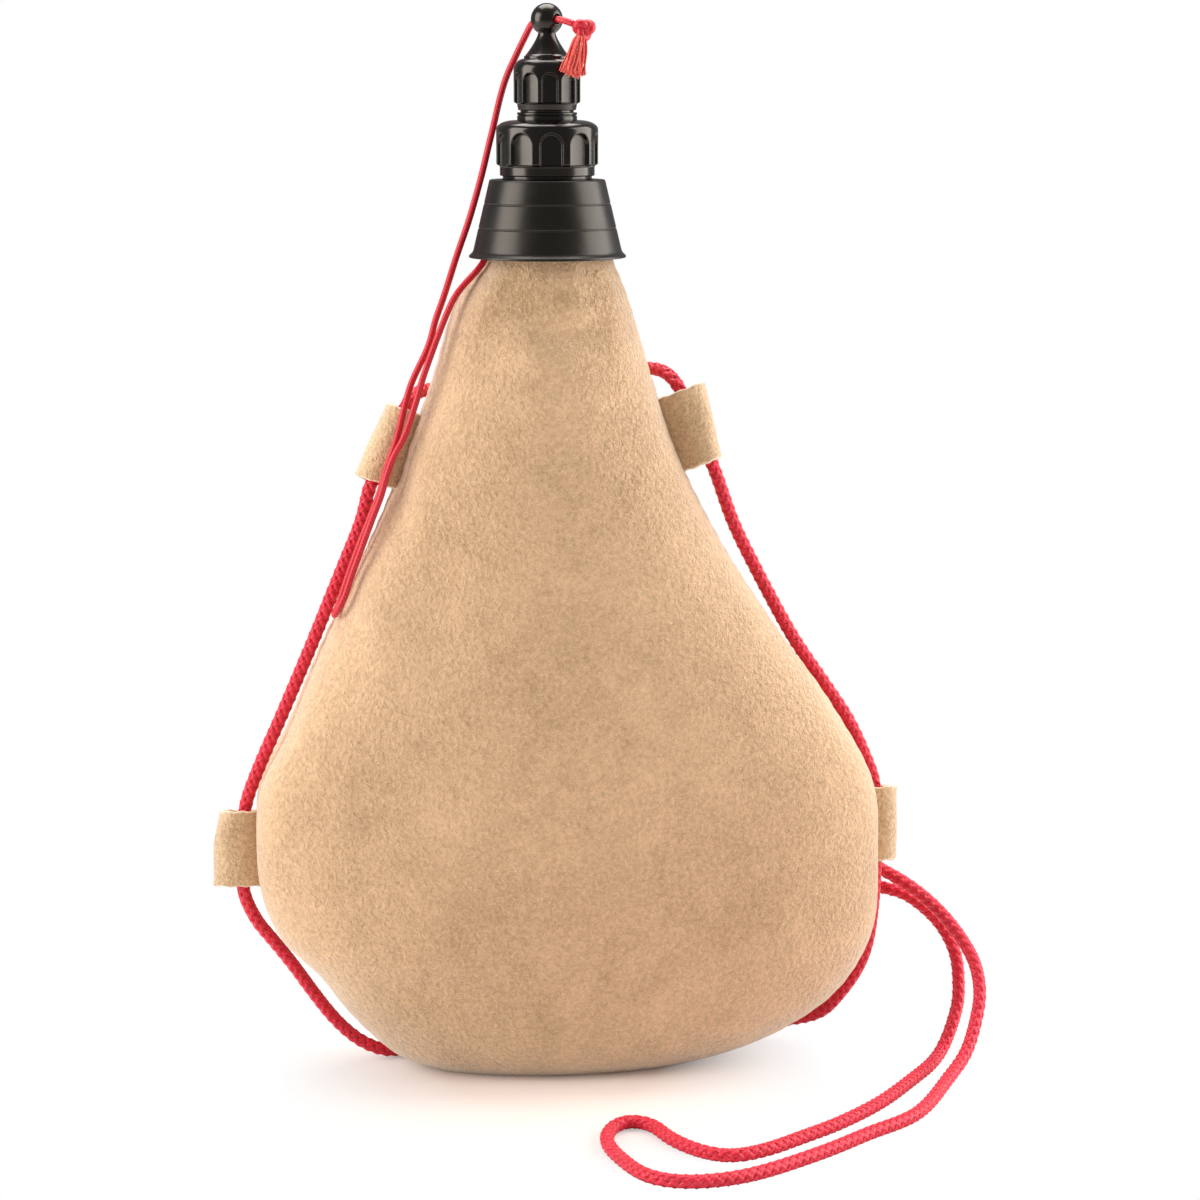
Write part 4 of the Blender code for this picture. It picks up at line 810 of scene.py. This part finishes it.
# %% [markdown]
# Each strap loop is a strip of the same suede, folded round the strap, with both ends in the seam.
# The strip's section is a thin rounded bar, carried along a U. Its cut edges are softly rounded, and
# the fold stands out a little more in the middle, where the strap pulls on it.

# %% Loops
LOOP_WALL = 0.0018
LOOP_INNER = 0.0033
LOOP_ROOT = 0.0055
LOOP_CLOSING = 0.74
LOOP_SWELL, LOOP_FLARE, LOOP_RAGGED = 0.0005, 0.0004, 0.00018
LOOP_TILT = 0.18


def seam_point(height, side):
    """The bag's edge at a height: across, depth and height."""
    line = seam_lines[side]
    return np.array([np.interp(height, line[:, 2], line[:, k]) for k in range(3)])


def add_loop(name, height, side, reach, lean, seed):
    """A U of half circle and two legs, in the plane across the seam. The strip's middle line is at the
    cavity's radius plus half a wall, and the section is a bar as long as the loop. The legs close on
    each other towards the seam, where both ends are sewn in."""
    low, centre, high = (seam_point(height + k * LOOP_LENGTH / 2, side) for k in (-1, 0, 1))
    along = unit(high - low)
    out = unit(np.array((side, 0.0, 0.0)) - along * along[0] * side)
    beside = np.cross(along, out)
    radius = LOOP_INNER + LOOP_WALL / 2
    nose = reach - LOOP_INNER - LOOP_WALL
    leg = np.linspace(-LOOP_ROOT, nose, 16)[:-1]
    turn = np.linspace(-math.pi / 2, math.pi / 2, 33)
    path = np.vstack([
        np.stack([leg, np.full(15, -radius)], axis=1),
        np.stack([nose + radius * np.cos(turn), radius * np.sin(turn)], axis=1),
        np.stack([leg[::-1], np.full(15, radius)], axis=1),
    ])
    closing = np.clip((nose - 0.002 - path[:, 0]) / (nose - 0.001), 0.0, 1.0)
    path[:, 1] *= 1.0 - LOOP_CLOSING * soft_step(closing)
    heading = unit(np.gradient(path, axis=0))
    normal = np.stack([heading[:, 1], -heading[:, 0]], axis=1)
    edge = np.linspace(-math.pi / 2, math.pi / 2, 9)[1:-1]
    flat_end = LOOP_LENGTH / 2 - LOOP_WALL / 3
    flat = np.linspace(-flat_end, flat_end, 25)
    rounded_end = flat_end + LOOP_WALL / 3 * np.cos(edge)
    one_face, one_edge = np.full(25, LOOP_WALL / 2), LOOP_WALL / 2 * np.sin(edge)
    across_bar = np.concatenate([flat, rounded_end, -flat, -rounded_end])
    through_bar = np.concatenate([-one_face, one_edge, one_face, -one_edge])
    share = across_bar / (LOOP_LENGTH / 2)
    rng = np.random.default_rng(seed)
    sway = rng.normal(0.0, 0.00022, 4)
    pull = np.clip((path[:, 0] - nose * 0.3) / (reach - nose * 0.3), 0.0, 1.0)[:, None]
    swell = LOOP_SWELL * (0.6 - share[None, :] ** 2) * pull
    flare = LOOP_FLARE * share[None, :] ** 4
    bow = sway[0] * np.sin(3.0 * share + sway[1] * 9000)[None, :] * pull
    normal_step = through_bar[None, :] + flare
    points_out = path[:, :1] + normal[:, :1] * normal_step + swell + bow + lean * share * pull
    points_beside = path[:, 1:] + normal[:, 1:] * normal_step
    ragged = LOOP_RAGGED * np.sin(path[:, :1] * 1400 + sway[2] * 9000) * np.abs(share) ** 6
    points_along = across_bar[None, :] + ragged
    rings = (
        centre + out * points_out[..., None] + beside * points_beside[..., None]
        + along * points_along[..., None]
    )
    rings = rings - along * (LOOP_TILT * (rings[..., 1:2] - centre[1]))
    if side > 0:
        rings = np.roll(rings[:, ::-1], -7, axis=1)
    return faced_out(add_tubes(name, [closed_tube(rings, 2 * LOOP_LENGTH)]))


for name, height, side, reach, lean, seed in (
    ("upper_left_loop", 0.1945, -1, 0.0112, -0.0010, 1),
    ("upper_right_loop", 0.1984, 1, 0.0138, 0.0016, 2),
    ("lower_left_loop", 0.0710, -1, 0.0168, -0.0011, 3),
    ("lower_right_loop", 0.0738, 1, 0.0115, 0.0006, 4),
):
    loop = add_loop(name + "_suede", height, side, reach, lean, seed)
    finished(loop, "bag", loop_suede, (name,))

# %% [markdown]
# The caps and the collar are moulded, so each is a turned shape: an outline carried round the spout's
# axis. Moulded corners are never sharp, and each corner of an outline is a small curve here. The
# flutes of the caps are pushed in afterwards, as a function of the angle and the height.


# %% Turned shapes
def rounded_outline(corners):
    """A closed outline in metres from corners in millimetres: radius, height and rounding. Each corner
    turns into a small parabola."""
    corners = np.array(corners, float) / 1000
    place, cut = corners[:, :2], corners[:, 2:]
    before = np.roll(place, 1, axis=0) - place
    after = np.roll(place, -1, axis=0) - place
    room = np.minimum(np.linalg.norm(before, axis=1), np.linalg.norm(after, axis=1))[:, None]
    cut = np.minimum(cut, room * 0.45)
    start = place + unit(before) * cut
    end = place + unit(after) * cut
    t = np.linspace(0.0, 1.0, 6)[None, :, None]
    curve = start[:, None] * (1 - t) ** 2 + 2 * place[:, None] * t * (1 - t) + end[:, None] * t ** 2
    flat = curve.reshape(-1, 2)
    keep = np.linalg.norm(flat - np.roll(flat, 1, axis=0), axis=1) > 1e-7
    return flat[keep]


def domed(radius, height, wide, tall):
    """The corners of a domed shoulder: a quarter of an ellipse from its top down to its side."""
    a = np.linspace(math.pi / 2, 0.0, 14)[1:]
    return [(r, z, 0.0) for r, z in zip(radius + wide * np.cos(a), height + tall * np.sin(a))]


def refined(outline, spacing, chosen):
    """The outline with extra points on the chosen edges, no further apart than the spacing."""
    after = np.roll(outline, -1, axis=0)
    parts = []
    for start, end in zip(outline, after):
        steps = 1
        if chosen((start + end) / 2):
            steps = max(1, math.ceil(np.linalg.norm(end - start) / spacing))
        parts.append(start + (end - start) * (np.arange(steps) / steps)[:, None])
    return np.vstack(parts)


def add_turned(name, outline, columns, push=None):
    """Every point of the outline goes round the axis: x = r cos, y = r sin. The push moves it inwards."""
    angle = once_round(columns)[None, :]
    radius = np.broadcast_to(outline[:, :1], (len(outline), columns))
    height = np.broadcast_to(outline[:, 1:], radius.shape)
    if push is not None:
        radius = radius - push(radius, height, angle)
    points = np.stack([radius * np.cos(angle), radius * np.sin(angle), height], axis=2)
    points = np.concatenate([points, points[:1]], axis=0)
    made = add_mesh(name, points.reshape(-1, 3), grid_quads(len(points), columns, True))
    faced_out(weld(made), thin=1e-7)
    made.data.shade_smooth()
    return made


# %% Black finishes
def moulded_finish(name, tone, roughness, coat, scuff):
    """Black plastic or rubber: a fine orange peel, and dull patches where it is handled."""
    moulded = Finish(
        name, tone, roughness,
        Coat_Weight=coat, Coat_Roughness=0.08, Specular_Tint=(1.0, 0.90, 0.80, 1.0),
    )
    place = moulded.place()
    peel = moulded.noise(place, 900.0, 2.0, 0.5)
    wear_and_shade_patches = moulded.noise(place, 120.0, 4.0, 0.65, 0.5)
    moulded.feed("Roughness", wear_and_shade_patches.ramped(0.35, 0.8) * scuff + roughness)
    worn = tuple(1.7 * t for t in tone)
    moulded.feed("Base Color", moulded.mixed(wear_and_shade_patches.ramped(0.3, 0.75), tone, worn))
    moulded.bumped(peel, 0.00003, 0.4)
    return moulded.material


cap_black = moulded_finish("cap_plastic", (0.0016, 0.0014, 0.0012), 0.17, 0.1, 0.12)
collar_black = moulded_finish("collar_rubber", (0.0022, 0.0018, 0.0015), 0.31, 0.0, 0.08)
neck_black = moulded_finish("neck_plastic", (0.012, 0.012, 0.012), 0.35, 0.0, 0.1)

# %% Collar
CONE_HEIGHTS, CONE_RADII = (254.3, 276.4), (22.6, 17.4)
collar_lines = [
    (np.interp(line + up, CONE_HEIGHTS, CONE_RADII) - inset, line + up, rounding)
    for line in (269.2, 261.9)
    for up, inset, rounding in ((0.35, 0.0, 0.12), (0.0, 0.22, 0.15), (-0.35, 0.0, 0.12))
]
collar_outline = rounded_outline([
    (12.5, 276.4, 0.2), (17.4, 276.4, 0.6), *collar_lines, (22.5, 254.8, 1.2), (23.7, 253.7, 0.2),
    (23.7, 253.1, 0.2), (22.8, 253.1, 0.2), (21, 255.2, 0.5), (16.6, 274.5, 0.3), (12.5, 274.5, 0.2),
])
collar = add_turned("collar_rubber", collar_outline, 256)
finished(collar, "bag", collar_black, ("collar",))


# %% Flutes and threads
def fluted(low, high, width, floor, scoop, count=10, soft=0.0004):
    """Each flute is a hollow panel with a round top, open below. Inside its outline the wall moves in
    to a floor, which is the floor's distance over the cosine of the angle from the flute's middle, less
    a shallow scoop that is deepest in the middle."""
    middle = math.sqrt(floor ** 2 - (width / 2) ** 2)

    def push(radius, height, angle):
        turn = (angle + math.pi / 2 + math.pi / count) % (math.tau / count) - math.pi / count
        across = radius * np.sin(turn)
        above = np.maximum(height - (high - width / 2), 0.0)
        inside = width / 2 - np.hypot(across, above)
        share = soft_step(np.clip(inside / soft + 0.5, 0.0, 1.0))
        share = share * np.clip((height - low) / soft + 1.0, 0.0, 1.0) * (radius > floor - 0.0002)
        hollow = scoop * np.clip(1.0 - (2.0 * across / width) ** 2, 0.0, 1.0)
        return share * np.maximum(radius - middle / np.cos(turn) + hollow, 0.0)

    return push


def threaded(base, pitch, turns, bead, wall):
    """A screw thread: the wall moves out by a round bead where the height, less the angle's share of
    the pitch, is near a whole number of pitches."""

    def push(radius, height, angle):
        climb = (height - base) / pitch - angle / math.tau
        near = (climb - np.round(climb)) * pitch
        on = (np.round(climb) * pitch + angle / math.tau * pitch >= 0) & (climb <= turns)
        run_out = np.clip(climb * 4 + 1, 0, 1) * np.clip((turns - climb) * 4 + 1, 0, 1)
        ridge = np.sqrt(np.maximum(bead ** 2 - near ** 2, 0.0)) * run_out
        return -ridge * on * (np.abs(radius - wall) < 0.0001)

    return push


# %% Filler cap
filler_outline = rounded_outline([
    (3.2, 294, 0), (9.6, 294, 0), *domed(9.6, 291.3, 5.7, 2.7), (15.3, 280.9, 0.4), (14.25, 280.38, 0.4),
    (14.25, 277.5, 0.4), (13.4, 277.5, 0.1), (13.4, 276.45, 0.1), (12.2, 276.45, 0.1),
    (12.2, 290.8, 0.2), (3.2, 290.8, 0),
])
filler_outline = refined(filler_outline, 0.00022, lambda p: p[0] > 0.0138 and 0.2803 < p[1] < 0.2914)
filler_flutes = fluted(0.2809, 0.2901, 0.0070, 0.01425, 0.0003)
filler_cap = add_turned("filler_cap_moulding", filler_outline, 720, filler_flutes)
finished(filler_cap, "filler", cap_black, ("filler_cap",))

nozzle_outline = rounded_outline([
    (1.3, 305.4, 0.2), (5.1, 305.4, 0.5), (5.1, 296.3, 0.3), (9, 296.3, 0.3), (9, 295.7, 0.1),
    (8.7, 295.4, 0.1), (9, 295.1, 0.1), (9, 293.8, 0.3), (3.2, 293.8, 0), (3.2, 300.4, 0.2),
    (1.3, 303.4, 0.2),
])
nozzle_outline = refined(nozzle_outline, 0.00016, lambda p: p[0] > 0.005 and p[1] > 0.2966)
nozzle = add_turned("nozzle", nozzle_outline, 160, threaded(0.2989, 0.0022, 2.0, 0.00055, 0.0051))
finished(nozzle, "filler", cap_black, ())

# %% Stopper cap
STEM_TOP, STEM_FOOT = 319.7, 312.9
stem = [
    (2.6 + 4.0 * s ** 1.35, STEM_TOP + (STEM_FOOT - STEM_TOP) * s, 0.0) for s in np.linspace(0.0, 1.0, 12)
]
stopper_outline = rounded_outline([
    (0.05, 321.2, 0), (2.6, 321.2, 0), *stem, (6.9, STEM_FOOT, 0.3), (6.9, 312.1, 0.1),
    *domed(6.9, 308.7, 3.1, 3.4), (10, 299.3, 0.3), (9, 298.8, 0.3), (8.65, 296.9, 0.3), (8, 296.9, 0.1),
    (8, 296.35, 0.1), (6, 296.35, 0.1), (6, 307, 0.2), (0.05, 307, 0),
])
stopper_outline = refined(stopper_outline, 0.0002, lambda p: p[0] > 0.0087 and 0.2990 < p[1] < 0.3088)
stopper_flutes = fluted(0.2993, 0.3078, 0.0049, 0.0090, 0.0002, soft=0.0003)
stopper_cap = add_turned("stopper_cap_moulding", stopper_outline, 600, stopper_flutes)
finished(stopper_cap, "stopper", cap_black, ("stopper_cap",))

# %% [markdown]
# The ball on top is drilled for the tether. A ball with a hole is a turned shape too, round the hole's
# own line: an arc of the sphere outside and the bore inside.

# %% Ball
BALL_RADIUS, BALL_HEIGHT = 0.0048, 0.3237
HOLE_DIRECTION = math.radians(-53)
BORE = 0.0015
bore_end = math.asin(BORE / BALL_RADIUS)
arc = np.linspace(bore_end, math.pi - bore_end, 40)
ball_outline = np.vstack([
    np.stack([BALL_RADIUS * np.sin(arc), BALL_RADIUS * np.cos(arc)], axis=1),
    np.stack([np.full(6, BORE), np.linspace(-0.94, 0.94, 6) * BALL_RADIUS * math.cos(bore_end)], axis=1),
])
ball = add_turned("stopper_ball", ball_outline, 72)
co = np.empty(len(ball.data.vertices) * 3, np.float32)
ball.data.vertices.foreach_get("co", co)
co = co.reshape(-1, 3)
away = np.array((math.cos(HOLE_DIRECTION), math.sin(HOLE_DIRECTION), 0.0))
aside = np.array((-math.sin(HOLE_DIRECTION), math.cos(HOLE_DIRECTION), 0.0))
laid = co[:, 2:] * away + co[:, :1] * np.array((0.0, 0.0, 1.0)) + co[:, 1:2] * aside
ball.data.vertices.foreach_set("co", (laid + (0.0, 0.0, BALL_HEIGHT)).astype(np.float32).ravel())
finished(faced_out(ball), "stopper", cap_black, ())

# %% [markdown]
# The inner pieces show only when the caps are off, but each has its own finish. Latex is amber and
# a little glossy, waxed twine is pale with a twist, and the washers are pale grey rubber. The neck
# tube is a turned shape too, and the bladder is the bag's own rings again, a little further in.

# %% Inner pieces
latex = Finish("latex", (0.55, 0.36, 0.14), 0.45)
cloudy = latex.noise(latex.place(), 90.0, 3.0)
latex.feed("Base Color", latex.mixed(cloudy.ramped(0.3, 0.7), (0.46, 0.29, 0.10), (0.62, 0.43, 0.19)))
latex.bumped(latex.noise(latex.place(), 700.0, 2.0), 0.0001, 0.3)

twine = Finish("waxed_twine", (0.52, 0.42, 0.26), 0.7)
plies = twine.node("ShaderNodeTexWave", {"bands_direction": "DIAGONAL"}, {
    "Vector": twine.place(), "Scale": 260.0, "Distortion": 1.5, "Detail": 2.0,
}, output="Fac")
twine.feed("Base Color", twine.mixed(plies, (0.38, 0.29, 0.16), (0.60, 0.50, 0.33)))
twine.bumped(plies, 0.00015, 0.6)

washer = Finish("washer_rubber", (0.62, 0.60, 0.55), 0.6)
dusty = washer.noise(washer.place(), 500.0, 3.0)
washer.feed("Base Color", washer.mixed(dusty.ramped(0.3, 0.7), (0.50, 0.48, 0.44), (0.66, 0.64, 0.60)))
washer.bumped(dusty, 0.00005, 0.4)

for node, finish in (
    ("seam_thread", twine.material), ("neck_binding", twine.material),
    ("filler_seal", washer.material), ("stopper_seal", washer.material),
):
    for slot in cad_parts[node].material_slots:
        slot.material = finish

insert_outline = rounded_outline([
    (9, 289, 0.3), (11.2, 289, 0.4), (11.2, 274.2, 0.2), (15, 274.2, 0.3), (15, 272.2, 0.3),
    (11.2, 272.2, 0.2), (11.2, 247.2, 0.2), (10.6, 246, 0.2), (9, 246, 0.2),
])
insert_outline = refined(insert_outline, 0.0002, lambda p: p[0] > 0.0111 and p[1] > 0.2786)
insert = add_turned("neck_tube", insert_outline, 160, threaded(0.2799, 0.003, 2.2, 0.0007, 0.0112))
finished(insert, "bag", neck_black, ("neck_insert",))

# %% Bladder
LINING = 0.0035
LATEX = 0.001
LINER_BASE = 0.0106
LINER_COLUMNS = 96
inside = bag_rows[BASE_STEPS:]
inside = inside[inside[:, 0] > 0.0108]
allowance = np.interp(inside[:, 0], (0.225, 0.245, 0.256), (0.0066, 0.0040, 0.0))
lining = np.interp(inside[:, 0], (0.245, 0.256), (LINING, 0.0023))
inside = np.vstack([inside[:1], inside])
inside[0, 0] = LINER_BASE
inset = np.concatenate([(allowance + lining)[:1], allowance + lining])[:, None]
lining = np.concatenate([lining[:1], lining])[:, None]
liner = bag_rings(inside, once_round(LINER_COLUMNS)[None, :], inset, lining)
base_middle = liner[:1].mean(axis=1, keepdims=True)
base_rings = base_middle + (liner[:1] - base_middle) * np.linspace(0.02, 0.94, 8)[:, None, None]
liner = np.vstack([base_rings, liner])
c = np.arange(LINER_COLUMNS)
fan = np.stack([np.full(LINER_COLUMNS, liner.size // 3), (c + 1) % LINER_COLUMNS, c], axis=1)
bladder = add_mesh(
    "bladder_latex", np.vstack([liner.reshape(-1, 3), base_middle[0]]),
    grid_quads(len(liner), LINER_COLUMNS, True), fan,
)
add_wall(faced_out(bladder), LATEX)
finished(bladder, "bag", latex.material, ("bladder",))

# %% [markdown]
# The set is a white floor and plain soft light: a broad panel on each side, whose reflections draw
# the caps, another overhead, and an even sky. The floor keeps the soft shadow under the bag, with a
# painted pink tint of reflected light near it, and fades to plain white a little further out.

# %% Floor
floor_mesh = bpy.data.meshes.new("floor")
floor_mesh.from_pydata([(-4, -4, 0), (4, -4, 0), (4, 6, 0), (-4, 6, 0)], [], [(0, 1, 2, 3)])
floor = bpy.data.objects.new("floor", floor_mesh)
bpy.context.scene.collection.objects.link(floor)
floor_white = Finish("floor_white", (0.93, 0.92, 0.91), 1.0, Specular_IOR_Level=0.0)
seen = floor_white.node("ShaderNodeLightPath", output="Is Camera Ray")
# The camera sees the floor tinted pink: painted reflected light, the colour the suede and the red cord
# would throw onto it, left near the bag where the white glow is weak.
floor_white.feed("Base Color", floor_white.mixed(seen, (0.78, 0.76, 0.74), (0.93, 0.82, 0.77)))
away = floor_white.node("ShaderNodeVectorMath", {"operation": "LENGTH"}, {
    0: floor_white.stretched(floor_white.place(), (1.25, 1.0, 1.0)),
}, output="Value")
far_white = floor_white.node("ShaderNodeMixShader", sockets={
    0: seen * (away.ramped(0.042, 0.108) * 0.97 + 0.03),
    1: Signal(floor_white.tree, floor_white.shader.outputs[0]),
    2: floor_white.node("ShaderNodeEmission", sockets={"Color": (1.0, 1.0, 1.0, 1.0), "Strength": 1.0}),
})
plug(floor_white.tree.nodes["Material Output"].inputs["Surface"], far_white)
floor_mesh.materials.append(floor_white.material)

# %% Light
world = bpy.data.worlds.new("studio")
bpy.context.scene.world = world
world.use_nodes = True
sky = world.node_tree
background = sky.nodes["Background"]
background.inputs["Color"].default_value = (1.0, 1.0, 1.0, 1.0)
path = sky.nodes.new("ShaderNodeLightPath")
plug(background.inputs["Strength"], Signal(sky, path.outputs["Is Camera Ray"]) * 0.75 + 0.25)


def add_panel_light(name, place, aim_height, wide, tall, power):
    """A slightly warm panel that faces a point on the spout's axis."""
    lamp = bpy.data.lights.new(name, "AREA")
    lamp.shape = "RECTANGLE"
    lamp.size, lamp.size_y = wide, tall
    lamp.energy = power
    lamp.color = (1.0, 0.985, 0.96)
    made = bpy.data.objects.new(name, lamp)
    made.location = place
    aim = Vector((0.0, 0.0, aim_height)) - made.location
    made.rotation_euler = aim.to_track_quat("-Z", "Y").to_euler()
    bpy.context.scene.collection.objects.link(made)


add_panel_light("left_panel", (-0.95, -0.20, 0.50), 0.18, 0.70, 0.9, 11.3)
add_panel_light("right_panel", (0.95, -0.04, 0.50), 0.18, 0.90, 1.0, 14.0)
add_panel_light("top_panel", (0.0, 0.30, 1.15), 0.10, 0.9, 0.7, 13.0)
